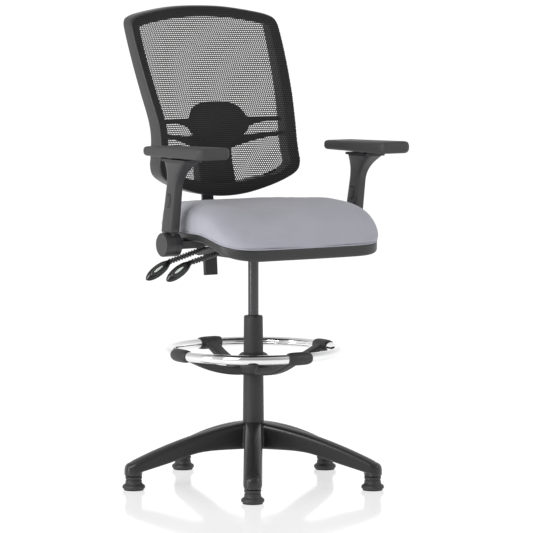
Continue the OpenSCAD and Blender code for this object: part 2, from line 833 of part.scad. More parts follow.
module back_bracket() {
  color(dark_steel) {
    for (s = [-1, 1]) difference() {
      rotate([90, 0, 90]) translate([0, 0, s * 42 - 2]) linear_extrude(height = 4)
        polygon([[74, 610], [74, 634], [84, 640], [150, 640], [213.5, 648], [209, 596], [150, 606]]);
      translate([0, hinge_y, hinge_z]) along_x(-60, 60, hinge_r + 0.05);
    }
    bar_frame() difference() {
      translate([-44, -9, -34]) cube([88, 4.6, 52]);
      for (z = [-18, 6]) translate([0, 0, z]) rotate([90, 0, 0]) cylinder(r = 4.2, h = 12);
    }
  }
}

module back_upright() {
  color(dark_steel) bar_frame() difference() {
    translate([-bar_w / 2, -bar_t / 2, bar_low]) cube([bar_w, bar_t, bar_high - bar_low]);
    for (z = [-18, 6]) translate([0, 20, z]) rotate([90, 0, 0]) cylinder(r = 4.2, h = 40);
    for (z = [190 : 12 : 310]) translate([bar_w / 2 - 4, -5, z]) cube([10, 10, 5]);
  }
}

module sleeve_on_bar(z0, z1, grow, floor_t) {
  bar_frame() difference() {
    translate([0, 0, z0]) linear_extrude(height = z1 - z0)
      polygon(round_rect(bar_w / 2 + grow, bar_t / 2 + grow, 2.5));
    translate([-bar_w / 2 - 0.1, -bar_t / 2 - 0.1, z0 + floor_t]) cube([bar_w + 0.2, bar_t + 0.2, z1 - z0 + 1]);
  }
}

module upright_cover() {
  color(nylon) {
    sleeve_on_bar(bar_low - 2.2, -36, 2.5, 2);
    sleeve_on_bar(22, 114, 2.5, -1);
  }
}

module bracket_bolts() {
  color(bright_steel) bar_frame() for (z = [-18, 6]) translate([0, 0, z]) rotate([90, 0, 0]) {
    translate([0, 0, -bar_t / 2 - 0.2]) cylinder(r = 4.1, h = 20);
    translate([0, 0, -bar_t / 2 - 5.2]) cylinder(r = 7, h = 5);
    translate([0, 0, 9.2]) cylinder(r = 7, h = 5.5, $fn = 6);
  }
}

// Front surface of the back: straight below, bending back above the lumbar line, bowed across
function back_y(z) = back_front_y + back_lean_slope * ramp(z - lumbar_bend_z, bend_soft)
  + back_low_slope * ramp(low_bend_z - z, bend_soft);
function back_bow(z) = lerp(30, 13, smooth((z - 1120) / 145));
function back_surface(x, z) = back_y(z) + back_bow(z) * (1 - pow(abs(x) / back_half_w, 3));
function frame_depth(z) = lerp(55, 43, clamp01((z - 900) / 350));

// Right half of the back's outer outline, from the top middle down
half_outline = [
  [80, back_top_z - 3.5], [160, back_top_z - 15], [207, back_top_z - 26], [228, back_top_z - 41],
  [back_half_w, back_top_z - 75], [back_half_w - 2, 1115], [224, 1035], [216, 965], [214, 915],
  [218, 870], [221, 846], [214, 822], [188, 803], [140, 783], [70, 765]];
back_points = concat([[0, back_top_z]], half_outline, [[0, back_low_z]],
  [for (i = [len(half_outline) - 1 : -1 : 0]) [-half_outline[i][0], half_outline[i][1]]]);
outline = closed_spline(back_points, 3);
outline_n = len(outline);

function outline_normal(i) =
  let (
    a = outline[(i + outline_n - 1) % outline_n],
    b = outline[(i + 1) % outline_n],
    d = (b - a) / norm(b - a)
  )
  [d[1], -d[0]];
// Width of the frame's front face at the sides, the top and the bottom
function strip_w(i) = let (n = outline_normal(i)) lerp(n[1] > 0 ? 36 : 30, 28, abs(n[0]));

// One point of the frame's section: inward by n, behind the front surface by d
function frame_point(i, n, d) =
  let (p = outline[i] + n * outline_normal(i))
  [p[0], back_surface(p[0], p[1]) + d, p[1]];

// The frame is a channel, open to the rear, with its mouth filled by the spline that holds the mesh
wall_t = 4;
function frame_section(i) =
  let (w = strip_w(i), d = frame_depth(outline[i][1]))
  [frame_point(i, 0, 9), frame_point(i, 2.5, 3), frame_point(i, 9, 0), frame_point(i, w - 3, 0),
   frame_point(i, w, 3), frame_point(i, w - 3, d - 4), frame_point(i, w - 3 - wall_t, d - 4),
   frame_point(i, w - wall_t, 2 + wall_t), frame_point(i, wall_t + 1, 6 + wall_t), frame_point(i, wall_t, d),
   frame_point(i, 0, d - 2)];

module back_frame() {
  color(nylon) loft([for (i = [0 : outline_n - 1]) frame_section(i)], closed = true);
}

module mesh_spline() {
  color(nylon) loft([for (i = [0 : outline_n - 1])
    let (w = strip_w(i), d = frame_depth(outline[i][1]) - 10)
    [frame_point(i, wall_t + 0.3, d), frame_point(i, w - 3.6 - wall_t, d),
     frame_point(i, w - 3.6 - wall_t, d + 4), frame_point(i, wall_t + 0.3, d + 4)]],
    closed = true);
}

// The mesh is a thin sheet stretched over the frame's front, made of rings that shrink to the middle
mesh_shrink = [0.985, 0.86, 0.72, 0.58, 0.44, 0.3, 0.16, 0.04];
function mesh_ring(f, d) =
  [for (i = [outline_n - 1 : -1 : 0])
    let (x = outline[i][0] * f, z = back_mid_z + (outline[i][1] - back_mid_z) * f)
    [x, back_surface(x, z) - d, z]];
module back_mesh() {
  n = len(mesh_shrink);
  color(nylon) loft(concat(
    [for (k = [n - 1 : -1 : 0]) mesh_ring(mesh_shrink[k], mesh_gap)],
    [for (k = [0 : n - 1]) mesh_ring(mesh_shrink[k], mesh_gap + mesh_t)]));
}

// Yoke: a spine behind the mesh that stands on the frame's lower rail, with two thin arms to the
// frame's sides; it is drawn in the bar's frame, where Y is measured from the bar
spine_y = -50;
spine_t = 4;
spine_edge = [[56, 160], [55, 200], [53.5, 240], [51, 322]];
function spine_outline(inset) = concat(
  [[0, spine_edge[0][1] - 5]],
  [for (p = spine_edge) [p[0] - inset, p[1]]],
  [for (i = [len(spine_edge) - 1 : -1 : 0]) [inset - spine_edge[i][0], spine_edge[i][1]]]);
rib_x = 30.2;
yoke_end_x = 186.4;
yoke_end_z = 922;
yoke_root_x = 46;
yoke_t = 8;
function yoke_end_y() = back_surface(yoke_end_x, yoke_end_z) + 22;
function yoke_y(t) = lerp(198.5, yoke_end_y(), smooth(t));
function yoke_half_h(t) = 5.5 + 15 * pow(1 - t, 2.5);
function yoke_section(s, t) =
  let (
    x = s * lerp(yoke_root_x, yoke_end_x, t),
    y = yoke_y(t),
    z = lerp(903, yoke_end_z, smooth(t)),
    h = yoke_half_h(t)
  )
  [[x, y, z - h], [x, y + yoke_t, z - h], [x, y + yoke_t, z + h], [x, y, z + h]];

module back_yoke() {
  color(nylon) {
    bar_frame() {
      translate([0, spine_y + spine_t, 0]) rotate([90, 0, 0])
        linear_extrude(height = spine_t) polygon(spine_outline(0));
      translate([0, spine_y + 26, 0]) rotate([90, 0, 0]) linear_extrude(height = 22.1) difference() {
        polygon(spine_outline(0));
        translate([0, -1]) polygon(spine_outline(3.5));
        translate([-30, 300]) square([60, 40]);
      }
      for (s = [-1, 1]) translate([s * (rib_x + 2) - 2, spine_y + spine_t - 0.1, 176]) cube([4, 58, 134]);
      translate([-rib_x, spine_y + spine_t - 0.1, 318]) cube([2 * rib_x, 32, 4]);
    }
    for (s = [-1, 1]) loft([for (t = [0 : 0.125 : 1])
      let (r = yoke_section(s, t)) s > 0 ? r : [r[3], r[2], r[1], r[0]]]);
  }
}

module ratchet_housing() {
  color(nylon) bar_frame() difference() {
    translate([0, 0, 158]) linear_extrude(height = 150) polygon(round_rect(rib_x - 0.1, 13.4, 4));
    translate([-bar_w / 2 - 0.4, -bar_t / 2 - 0.4, 150]) cube([bar_w + 0.8, bar_t + 0.8, 170]);
  }
}

screw_inset = 12;
screw_head_r = 4.5;
screw_place = 1 - (screw_inset + screw_head_r + 1) / (yoke_end_x - yoke_root_x);
module back_screws() {
  color(bright_steel) {
    for (s = [-1, 1]) translate([s * (yoke_end_x - screw_inset), yoke_y(screw_place) + yoke_t + 0.2, yoke_end_z - 0.5])
      rotate([-90, 0, 0]) cylinder(r = screw_head_r, h = 3);
    bar_frame() for (s = [-1, 1], z = [196, 292]) translate([s * (rib_x + 4.1), 0, z])
      rotate([0, s * 90, 0]) cylinder(r = screw_head_r, h = 3);
  }
}

// Lumbar pad: a bowed dome that leans back, with two tapering arms that reach for the frame's sides
dome_half_w = 92;
dome_t = 7;
dome_mid_z = 930;
dome_lean = 0.1;
function dome_y(x) = 184 - 8 * pow(x / dome_half_w, 2);
function dome_point(x, z, d) = [x, dome_y(x) - d + dome_lean * (z - dome_mid_z), z];
function dome_top(x) = 956 + 54 * pow(max(0, 1 - pow(abs(x) / dome_half_w, 2.6)), 0.5);
function dome_low(x) = 905 + 44 * pow(abs(x) / dome_half_w, 3);
lumbar_root_x = 84;
lumbar_end_x = 181;
lumbar_arm_t = 5;
function lumbar_arm(s, u) =
  let (
    x = s * lerp(lumbar_root_x, lumbar_end_x, u),
    y = lerp(dome_y(lumbar_root_x) - lumbar_arm_t, back_surface(lumbar_end_x, 960) + 14, smooth(u)),
    high = lerp(963, 965, u),
    low = high - 9 - 26 * pow(1 - u, 3)
  )
  [[x, y, low], [x, y + lumbar_arm_t, low], [x, y + lumbar_arm_t, high], [x, y, high]];

module lumbar_pad() {
  color(nylon) {
    loft([for (x = [-90 : 7.5 : 90])
      [dome_point(x, dome_low(x), dome_t), dome_point(x, dome_low(x), 0),
       dome_point(x, dome_top(x), 0), dome_point(x, dome_top(x), dome_t)]]);
    for (s = [-1, 1]) loft([for (k = [0 : 8]) let (r = lumbar_arm(s, k / 8))
      s > 0 ? r : [r[3], r[2], r[1], r[0]]]);
  }
}

// ---- nodes ----------------------------------------------------------------

base_star();
hub_ring();
glide_bodies();
glide_stems();
glide_soles();
stand_tube();
guide_bush();
rod_clip();
thrust_bearing();
piston_rod();
piston();
thrust_washer();
gas_cylinder();
mechanism_body();
taper_bush();
hinge_pin();
back_spring();
seat_pan();
seat_board();
seat_cushion();
seat_bolts();
tee_nuts();
arm_bracket(1);  // arm_bracket_left
arm_bracket(-1);  // arm_bracket_right
bracket_covers();
arm_bolts();
arm_pins();
valve_pin();
height_lever_rod();
bellows(height_lever_y, height_lever_drop);  // height_lever_bellows
paddle(height_lever_y, height_lever_drop);  // height_lever_paddle
tilt_lever_rod();
bellows(tilt_lever_y, tilt_lever_drop);  // tilt_lever_bellows
paddle(tilt_lever_y, tilt_lever_drop);  // tilt_lever_paddle
back_bracket();
back_upright();
upright_cover();
bracket_bolts();
back_frame();
back_yoke();
back_mesh();
mesh_spline();
ratchet_housing();
back_screws();
lumbar_pad();
ring_tube();
ring_spider();
ring_collet();
ring_knob();
arm_hub(1);  // arm_hub_left
arm_sleeve(1);  // arm_sleeve_left
arm_plate(1);  // arm_plate_left
arm_pad(1);  // arm_pad_left
arm_button(1);  // arm_button_left
arm_hub(-1);  // arm_hub_right
arm_sleeve(-1);  // arm_sleeve_right
arm_plate(-1);  // arm_plate_right
arm_pad(-1);  // arm_pad_right
arm_button(-1);  // arm_button_right
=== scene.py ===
"""Looks of the drafting chair. All lengths in the shape code are millimetres in the CAD's own frame."""

import math

import bmesh
import bpy
import numpy as np
from mathutils import Matrix, Vector


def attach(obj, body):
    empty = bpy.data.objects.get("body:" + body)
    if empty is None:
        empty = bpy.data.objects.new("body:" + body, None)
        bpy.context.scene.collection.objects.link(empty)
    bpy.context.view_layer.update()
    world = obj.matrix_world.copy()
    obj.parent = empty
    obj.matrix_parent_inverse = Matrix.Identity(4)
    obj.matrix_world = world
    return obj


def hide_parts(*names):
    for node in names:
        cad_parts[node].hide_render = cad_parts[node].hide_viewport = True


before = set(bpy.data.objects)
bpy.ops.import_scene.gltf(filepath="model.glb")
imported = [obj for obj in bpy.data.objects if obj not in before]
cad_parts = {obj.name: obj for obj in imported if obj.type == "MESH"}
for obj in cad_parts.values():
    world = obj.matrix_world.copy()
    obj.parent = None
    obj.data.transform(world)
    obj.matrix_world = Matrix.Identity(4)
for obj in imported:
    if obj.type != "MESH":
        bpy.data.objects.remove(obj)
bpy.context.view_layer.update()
MM = 0.001
FULL_TURN = 2 * math.pi

# ---- camera: metres and radians --------------------------------------------

CAMERA_DISTANCE = 9.1664
CAMERA_HEIGHT = 1.412
CAMERA_YAW = 0.5618
CAMERA_PAN = 0.0038
CAMERA_PITCH = 0.0905
CAMERA_LENS = 235.27
SENSOR = 36.0


def make_camera():
    away = Vector((math.sin(CAMERA_YAW), math.cos(CAMERA_YAW), 0))
    side = Vector((math.cos(CAMERA_YAW), -math.sin(CAMERA_YAW), 0))
    up = Vector((0, 0, 1))
    level = math.cos(CAMERA_PAN) * away + math.sin(CAMERA_PAN) * side
    right = math.cos(CAMERA_PAN) * side - math.sin(CAMERA_PAN) * away
    forward = math.cos(CAMERA_PITCH) * level - math.sin(CAMERA_PITCH) * up
    top = math.cos(CAMERA_PITCH) * up + math.sin(CAMERA_PITCH) * level
    data = bpy.data.cameras.new("camera")
    data.lens = CAMERA_LENS
    data.sensor_width = SENSOR
    data.clip_end = 400
    camera = bpy.data.objects.new("camera", data)
    turn = Matrix((right, top, -forward)).transposed().to_4x4()
    place = -CAMERA_DISTANCE * away + CAMERA_HEIGHT * up
    camera.matrix_world = Matrix.Translation(place) @ turn
    bpy.context.scene.collection.objects.link(camera)
    bpy.context.scene.camera = camera


make_camera()

# ---- small helpers --------------------------------------------------------


def lerp(a, b, t):
    return a + (b - a) * t


def clamp01(t):
    return max(0.0, min(1.0, t))


def smooth(t):
    t = clamp01(t)
    return t * t * (3 - 2 * t)


def ramp(t, soft):
    """Zero below 0 and t above it, with a soft bend between."""
    return soft * math.log(1 + math.exp(t / soft)) if t < 30 * soft else t


def spow(x, e):
    """A power that keeps the sign."""
    return math.copysign(abs(x) ** e, x)


def interp(table, x):
    """Reads a table of (x, y) rows with straight lines between them."""
    xs, ys = zip(*table)
    return float(np.interp(x, xs, ys))


def closed_spline(points, steps):
    """A Catmull-Rom curve through the points, closed."""
    n, out = len(points), []
    pts = [np.array(p, float) for p in points]
    for i in range(n):
        p0, p1, p2, p3 = (pts[(i + k) % n] for k in (-1, 0, 1, 2))
        for k in range(steps):
            t = k / steps
            out.append(
                0.5
                * (
                    2 * p1
                    + (p2 - p0) * t
                    + (2 * p0 - 5 * p1 + 4 * p2 - p3) * t * t
                    + (3 * p1 - p0 - 3 * p2 + p3) * t**3
                )
            )
    return out


def round_polygon(points, radii, steps=4):
    """A closed polygon with each corner rounded by its own radius."""
    pts, out = [np.array(p, float) for p in points], []
    n = len(pts)
    for i, p in enumerate(pts):
        a, b = pts[i - 1] - p, pts[(i + 1) % n] - p
        la, lb = np.linalg.norm(a), np.linalg.norm(b)
        a, b = a / la, b / lb
        angle = math.acos(max(-1, min(1, float(a @ b))))
        back = min(radii[i] / math.tan(angle / 2), 0.48 * la, 0.48 * lb) if angle < 3.1 else 0
        if back < 1e-6:
            out.append(p)
            continue
        start, end = p + a * back, p + b * back
        for k in range(steps + 1):
            t = k / steps
            out.append((1 - t) ** 2 * start + 2 * t * (1 - t) * p + t * t * end)
    return out


def super_ring(a, b, power, count):
    """A superellipse of half sizes a and b."""
    e = 2 / power
    return [
        (a * spow(math.cos(t), e), b * spow(math.sin(t), e))
        for t in (FULL_TURN * k / count for k in range(count))
    ]


def new_object(name, points, faces):
    mesh = bpy.data.meshes.new(name)
    mesh.from_pydata([Vector(p) * MM for p in points], [], faces)
    mesh.validate()
    mesh.update()
    obj = bpy.data.objects.new(name, mesh)
    bpy.context.scene.collection.objects.link(obj)
    return obj


def fix_normals(mesh):
    bm = bmesh.new()
    bm.from_mesh(mesh)
    bmesh.ops.recalc_face_normals(bm, faces=bm.faces)
    bm.to_mesh(mesh)
    bm.free()


def loft(name, rings, closed=False, sharp=None):
    """A skin through rings that all have the same number of points. An open one gets end caps."""
    n, m = len(rings[0]), len(rings)
    points = [tuple(p) for ring in rings for p in ring]
    faces = []
    for i in range(m if closed else m - 1):
        j0, j1 = i * n, ((i + 1) % m) * n
        faces += [(j0 + k, j0 + (k + 1) % n, j1 + (k + 1) % n, j1 + k) for k in range(n)]
    if not closed:
        for start, ring in ((0, rings[0]), ((m - 1) * n, rings[-1])):
            points.append(tuple(np.mean([np.array(p, float) for p in ring], axis=0)))
            centre = len(points) - 1
            faces += [(start + k, start + (k + 1) % n, centre) for k in range(n)]
    obj = new_object(name, points, faces)
    fix_normals(obj.data)
    obj.data.shade_smooth()
    if sharp:
        obj.data.set_sharp_from_angle(angle=math.radians(sharp))
    return obj


def lathe(name, profile, count=96, place=None, sharp=35):
    """A closed profile of (radius, height) turned about Z, then placed by a matrix in millimetres."""
    rings = []
    for k in range(count):
        t = FULL_TURN * k / count
        c, s = math.cos(t), math.sin(t)
        rings.append([(r * c, r * s, z) for r, z in profile])
    obj = loft(name, rings, closed=True, sharp=sharp)
    weld(obj)
    if place is not None:
        put(obj, place)
    return obj


def weld(obj, gap=0.002):
    bm = bmesh.new()
    bm.from_mesh(obj.data)
    bmesh.ops.remove_doubles(bm, verts=bm.verts, dist=gap * MM)
    bmesh.ops.dissolve_degenerate(bm, dist=gap * MM, edges=bm.edges)
    bmesh.ops.recalc_face_normals(bm, faces=bm.faces)
    bm.to_mesh(obj.data)
    bm.free()


def put(obj, matrix):
    """Moves the vertices by a matrix whose translation is in millimetres."""
    m = matrix.copy()
    m.translation = m.translation * MM
    obj.data.transform(m)


def move(x, y, z):
    return Matrix.Translation((x, y, z))


def turn(axis, degrees):
    return Matrix.Rotation(math.radians(degrees), 4, axis)


def settle(obj):
    """Applies the object's modifiers to its mesh."""
    graph = bpy.context.evaluated_depsgraph_get()
    mesh = bpy.data.meshes.new_from_object(obj.evaluated_get(graph))
    old = obj.data
    obj.modifiers.clear()
    obj.data = mesh
    bpy.data.meshes.remove(old)
    mesh.name = obj.name
    return obj


def join(name, objs):
    """One object that holds the meshes of several."""
    points, faces = [], []
    for o in objs:
        base = len(points)
        points += [tuple(v.co / MM) for v in o.data.vertices]
        faces += [tuple(base + i for i in p.vertices) for p in o.data.polygons]
        drop(o)
    return new_object(name, points, faces)


def drop(obj):
    mesh = obj.data
    bpy.data.objects.remove(obj)
    bpy.data.meshes.remove(mesh)


def soften(obj, passes, factor=0.5):
    m = obj.modifiers.new("soften", "SMOOTH")
    m.iterations = passes
    m.factor = factor
    return settle(obj)


def even_out(obj, voxel, passes):
    """Remeshes a solid in even quads, then rounds it off."""
    m = obj.modifiers.new("even", "REMESH")
    m.mode = "VOXEL"
    m.voxel_size = voxel * MM
    m.use_smooth_shade = True
    return soften(obj, passes)


def fuse(name, objs, voxel, passes):
    """Joins solids into one skin with soft fillets where they meet."""
    return even_out(join(name, objs), voxel, passes)


def combine(obj, tool, operation):
    m = obj.modifiers.new("combine", "BOOLEAN")
    m.operation = operation
    m.solver = "MANIFOLD"
    m.object = tool
    settle(obj)
    drop(tool)


def cut(obj, tool):
    """Takes the tool's solid away from obj, and removes the tool."""
    combine(obj, tool, "DIFFERENCE")


def unite(obj, tool):
    """Adds the tool's solid to obj, and removes the tool."""
    combine(obj, tool, "UNION")


def sharpen(obj, degrees):
    """Smooth shading, with the edges that turn by more than this left sharp."""
    obj.data.shade_smooth()
    obj.data.set_sharp_from_angle(angle=math.radians(degrees))


def box_solid(name, x0, x1, y0, y1, z0, z1):
    points = [(x, y, z) for x in (x0, x1) for y in (y0, y1) for z in (z0, z1)]
    faces = [(0, 1, 3, 2), (4, 6, 7, 5), (0, 4, 5, 1), (2, 3, 7, 6), (0, 2, 6, 4), (1, 5, 7, 3)]
    obj = new_object(name, points, faces)
    fix_normals(obj.data)
    return obj


# ---- materials ------------------------------------------------------------


class Shade:
    """A short way to write a node tree."""

    def __init__(self, name):
        self.mat = bpy.data.materials.new(name)
        self.mat.use_nodes = True
        self.tree = self.mat.node_tree
        self.tree.nodes.clear()
        self.out = self.tree.nodes.new("ShaderNodeOutputMaterial")
        self.bsdf = self.tree.nodes.new("ShaderNodeBsdfPrincipled")
        self.link(self.bsdf.outputs[0], self.out.inputs["Surface"])
        self.where = self.tree.nodes.new("ShaderNodeTexCoord").outputs["Object"]

    def link(self, a, b):
        self.tree.links.new(a, b)

    def put(self, socket, value):
        if isinstance(value, bpy.types.NodeSocket):
            self.link(value, socket)
        else:
            socket.default_value = value

    def math(self, kind, a, b=0.0):
        """One Math node, of the kind that Blender calls by this name."""
        n = self.tree.nodes.new("ShaderNodeMath")
        n.operation = kind
        for s, v in zip(n.inputs, (a, b)):
            self.put(s, v)
        return n.outputs[0]

    def scaled(self, x, y, z):
        n = self.tree.nodes.new("ShaderNodeMapping")
        n.inputs["Scale"].default_value = (x, y, z)
        self.link(self.where, n.inputs["Vector"])
        return n.outputs[0]

    def noise(self, scale, detail=3.0, rough=0.55, vector=None):
        n = self.tree.nodes.new("ShaderNodeTexNoise")
        n.inputs["Scale"].default_value = scale
        n.inputs["Detail"].default_value = detail
        n.inputs["Roughness"].default_value = rough
        self.link(vector or self.where, n.inputs["Vector"])
        return n.outputs[0]

    def span(self, value, low, high, to_low, to_high):
        """Maps low..high to to_low..to_high, and stops there."""
        n = self.tree.nodes.new("ShaderNodeMapRange")
        for s, v in zip(n.inputs, (value, low, high, to_low, to_high)):
            self.put(s, v)
        return n.outputs[0]

    def vary(self, noise, to_low, to_high):
        """Spreads a noise, whose values mostly lie between 0.3 and 0.7, over to_low..to_high."""
        return self.span(noise, 0.3, 0.7, to_low, to_high)

    def mix(self, factor, a, b):
        n = self.tree.nodes.new("ShaderNodeMix")
        n.data_type = "RGBA"
        self.put(n.inputs[0], factor)
        self.put(n.inputs[6], a if isinstance(a, bpy.types.NodeSocket) else (*a, 1))
        self.put(n.inputs[7], (*b, 1))
        return n.outputs[2]

    def parts(self, vector):
        n = self.tree.nodes.new("ShaderNodeSeparateXYZ")
        self.link(vector, n.inputs[0])
        return n.outputs

    def geometry(self, name):
        return self.tree.nodes.new("ShaderNodeNewGeometry").outputs[name]

    def bump(self, height, strength, depth_mm):
        n = self.tree.nodes.new("ShaderNodeBump")
        n.inputs["Strength"].default_value = strength
        n.inputs["Distance"].default_value = depth_mm * MM
        self.link(height, n.inputs["Height"])
        return n.outputs[0]

    def set(self, **values):
        """Fills the shader's sockets: Base_Color=... goes to "Base Color"."""
        for name, value in values.items():
            socket = self.bsdf.inputs[name.replace("_", " ")]
            self.put(socket, (*value, 1) if isinstance(value, tuple) and len(value) == 3 else value)


def shades(colour, share):
    return tuple(c * share for c in colour)


def plastic(name, colour, rough, grain=0.25, grain_mm=0.9, wear=0.35, specular=0.5):
    """Moulded plastic with a spark-eroded grain, cloudy gloss and rubbed edges."""
    s = Shade(name)
    cloud = s.noise(9, 4)
    grit = s.noise(1000 / grain_mm, 2, 0.5)
    edge = s.span(s.geometry("Pointiness"), 0.52, 0.6, 0.0, wear)
    base = s.mix(cloud, shades(colour, 0.86), shades(colour, 1.14))
    base = s.mix(edge, base, shades(colour, 1.8))
    gloss = s.math("ADD", s.vary(grit, -0.05, 0.05), s.vary(cloud, rough - 0.04, rough + 0.04))
    s.set(
        Base_Color=base,
        Roughness=gloss,
        Specular_IOR_Level=specular,
        Normal=s.bump(grit, grain, 0.06),
    )
    return s.mat


def metal(name, colour, rough, brushed=0.0, dull=0.0):
    """Metal with fine turning marks and small changes of gloss."""
    s = Shade(name)
    cloud = s.noise(14, 4)
    lines = s.noise(60, 3, 0.6, s.scaled(6, 6, 90))
    gloss = s.math("ADD", s.vary(cloud, rough * 0.8, rough * 1.2), s.vary(lines, 0, brushed * 0.15))
    s.set(
        Base_Color=s.mix(cloud, shades(colour, 0.93), shades(colour, 1.0)),
        Metallic=1.0 - dull,
        Roughness=gloss,
        Normal=s.bump(lines, brushed, 0.02),
    )
    return s.mat


YARN_PITCH = 1.15


def fabric(name, colour):
    """Plain woven upholstery cloth: crossing yarns, fuzz and slow changes of tone."""
    s = Shade(name)
    p = s.parts(s.where)
    turn_rate = math.pi / (YARN_PITCH * MM)
    wobble = s.math("MULTIPLY", s.noise(90, 2), 1.6)

    def yarns(u, v):
        a = s.math("SINE", s.math("ADD", s.math("MULTIPLY", u, turn_rate), wobble))
        b = s.math("SINE", s.math("ADD", s.math("MULTIPLY", v, turn_rate), wobble))
        return s.math("MULTIPLY", a, b)

    top = yarns(p[0], p[1])
    side = yarns(s.math("ADD", p[0], p[1]), p[2])
    lean = s.math("ABSOLUTE", s.parts(s.geometry("Normal"))[2])
    share = s.span(lean, 0.35, 0.65, 0.0, 1.0)
    rest = s.math("SUBTRACT", 1.0, share)
    weave = s.math("ADD", s.math("MULTIPLY", top, share), s.math("MULTIPLY", side, rest))
    fuzz = s.noise(1400, 3, 0.7)
    cloud = s.noise(14, 4)
    tone = s.math("ADD", s.span(weave, -1, 1, 0.28, 0.72), s.vary(fuzz, -0.2, 0.2))
    tone = s.math("ADD", tone, s.vary(cloud, -0.12, 0.12))
    height = s.math("ADD", s.math("MULTIPLY", weave, 0.5), s.math("MULTIPLY", fuzz, 0.8))
    s.set(
        Base_Color=s.mix(tone, shades(colour, 0.86), shades(colour, 1.14)),
        Roughness=0.92,
        Specular_IOR_Level=0.25,
        Sheen_Weight=0.25,
        Sheen_Roughness=0.5,
        Normal=s.bump(height, 0.35, 0.25),
    )
    return s.mat


HOLE_SQUARENESS = 2.4


def net(name, colour, across, up, open_x, open_z):
    """An open knitted net. Oval holes in staggered rows: pitches in mm, half openings as shares of them."""
    s = Shade(name)
    p = s.parts(s.where)
    v = s.math("DIVIDE", p[2], up * MM)
    row = s.math("FLOOR", v)
    odd = s.math("MULTIPLY", s.math("FLOORED_MODULO", row, 2.0), 0.5)
    u = s.math("ADD", s.math("DIVIDE", p[0], across * MM), odd)
    du = s.math("DIVIDE", s.math("SUBTRACT", s.math("FRACT", u), 0.5), open_x)
    dv = s.math("DIVIDE", s.math("SUBTRACT", s.math("FRACT", v), 0.5), open_z)
    far_x, far_z = (s.math("POWER", s.math("ABSOLUTE", d), HOLE_SQUARENESS) for d in (du, dv))
    far = s.math("ADD", far_x, far_z)
    yarn = s.span(far, 0.9, 1.1, 0.0, 1.0)
    twist = s.noise(1100, 2)
    cloud = s.noise(11, 3)
    tone = s.math("ADD", s.vary(cloud, 0.2, 0.8), s.vary(twist, -0.2, 0.2))
    height = s.math("ADD", s.math("MULTIPLY", twist, 0.5), s.math("MINIMUM", far, 3.0))
    s.set(
        Base_Color=s.mix(tone, shades(colour, 0.8), shades(colour, 1.25)),
        Roughness=0.7,
        Specular_IOR_Level=0.3,
        Normal=s.bump(height, 0.4, 0.2),
        Alpha=yarn,
    )
    return s.mat


def wood(name):
    s = Shade(name)
    ply = s.noise(30, 4, 0.6, s.scaled(2, 12, 60))
    s.set(
        Base_Color=s.mix(ply, (0.36, 0.21, 0.10), (0.62, 0.44, 0.26)),
        Roughness=s.vary(ply, 0.5, 0.7),
        Normal=s.bump(ply, 0.3, 0.1),
    )
    return s.mat


def felt(name, colour):
    s = Shade(name)
    hair = s.noise(900, 4, 0.7)
    s.set(
        Base_Color=s.mix(hair, shades(colour, 0.6), shades(colour, 1.5)),
        Roughness=0.97,
        Specular_IOR_Level=0.1,
        Normal=s.bump(hair, 0.7, 0.4),
    )
    return s.mat


NYLON = plastic("nylon", (0.021, 0.021, 0.022), 0.5, grain=0.35, grain_mm=1.1)
BASE = plastic("base_nylon", (0.014, 0.014, 0.0145), 0.33, grain=0.25, grain_mm=1.1)
ARM = plastic("arm_plastic", (0.030, 0.030, 0.031), 0.44, grain=0.3, grain_mm=0.9)
PAD = plastic("pad_foam", (0.040, 0.040, 0.041), 0.55, grain=0.6, grain_mm=1.6, wear=0.1, specular=0.4)
PAN = plastic("pan_plastic", (0.021, 0.021, 0.022), 0.4, grain=0.2, grain_mm=0.8)
FRAME = plastic("frame_plastic", (0.026, 0.026, 0.027), 0.42, grain=0.25, grain_mm=0.8)
GLOSS = plastic("gloss_black", (0.010, 0.010, 0.010), 0.16, grain=0.05, grain_mm=2, wear=0.1)
RUBBER = plastic("black_rubber", (0.013, 0.013, 0.013), 0.3, grain=0.2, grain_mm=0.7, wear=0.1)
INSET = plastic("inset_gloss", (0.03, 0.033, 0.031), 0.12, grain=0.02, grain_mm=2, wear=0.3)
# Pale glossy patch on the lever paddles: partly a painted highlight for the reflection streak on the dark
# gloss inset, partly the pale icons.
HIGHLIGHT_AND_ICONS = plastic("painted_highlight_and_icons", (0.62, 0.66, 0.63), 0.12, grain=0.02, grain_mm=2, wear=0.1)
STEEL = metal("black_steel", (0.045, 0.045, 0.048), 0.34, brushed=0.2, dull=0.45)
LIFT = metal("lift_steel", (0.075, 0.075, 0.078), 0.2, brushed=0.15, dull=0.3)
ZINC = metal("zinc_steel", (0.55, 0.55, 0.56), 0.3, brushed=0.3)
SPRING = metal("spring_steel", (0.3, 0.3, 0.31), 0.35, brushed=0.2)
CHROME = metal("ring_chrome", (0.92, 0.92, 0.93), 0.045, brushed=0.02)
SEAT = fabric("seat_fabric", (0.345, 0.345, 0.392))
NET = net("back_mesh", (0.012, 0.012, 0.012), 6.0, 5.2, 0.30, 0.275)
PLY = wood("plywood")
FELT = felt("felt", (0.04, 0.04, 0.04))


def dress(obj, material):
    obj.data.materials.clear()
    obj.data.materials.append(material)


def piece(obj, material, body, nodes=()):
    """Gives a new piece its material, its body and the CAD nodes it stands for."""
    dress(obj, material)
    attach(obj, body)
    if nodes:
        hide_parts(*nodes)


# ---- base -----------------------------------------------------------------

GLIDE_R = 330
BASE_TURN = -32.5
LEG_COUNT = 5
HUB_TOP = 168
HUB_LOW = 98
LEG_HALF_W = 25
LEG_DRAFT = 2.5
LEG_WALL = 4.5
LEG_END_LOW = 44
TIP_ROUND = 12


def leg_top(r):
    return 172 - 0.12 * r - 0.0005 * r * r


def leg_under(r):
    return HUB_LOW - ramp(0.27 * (r - 150), 6)


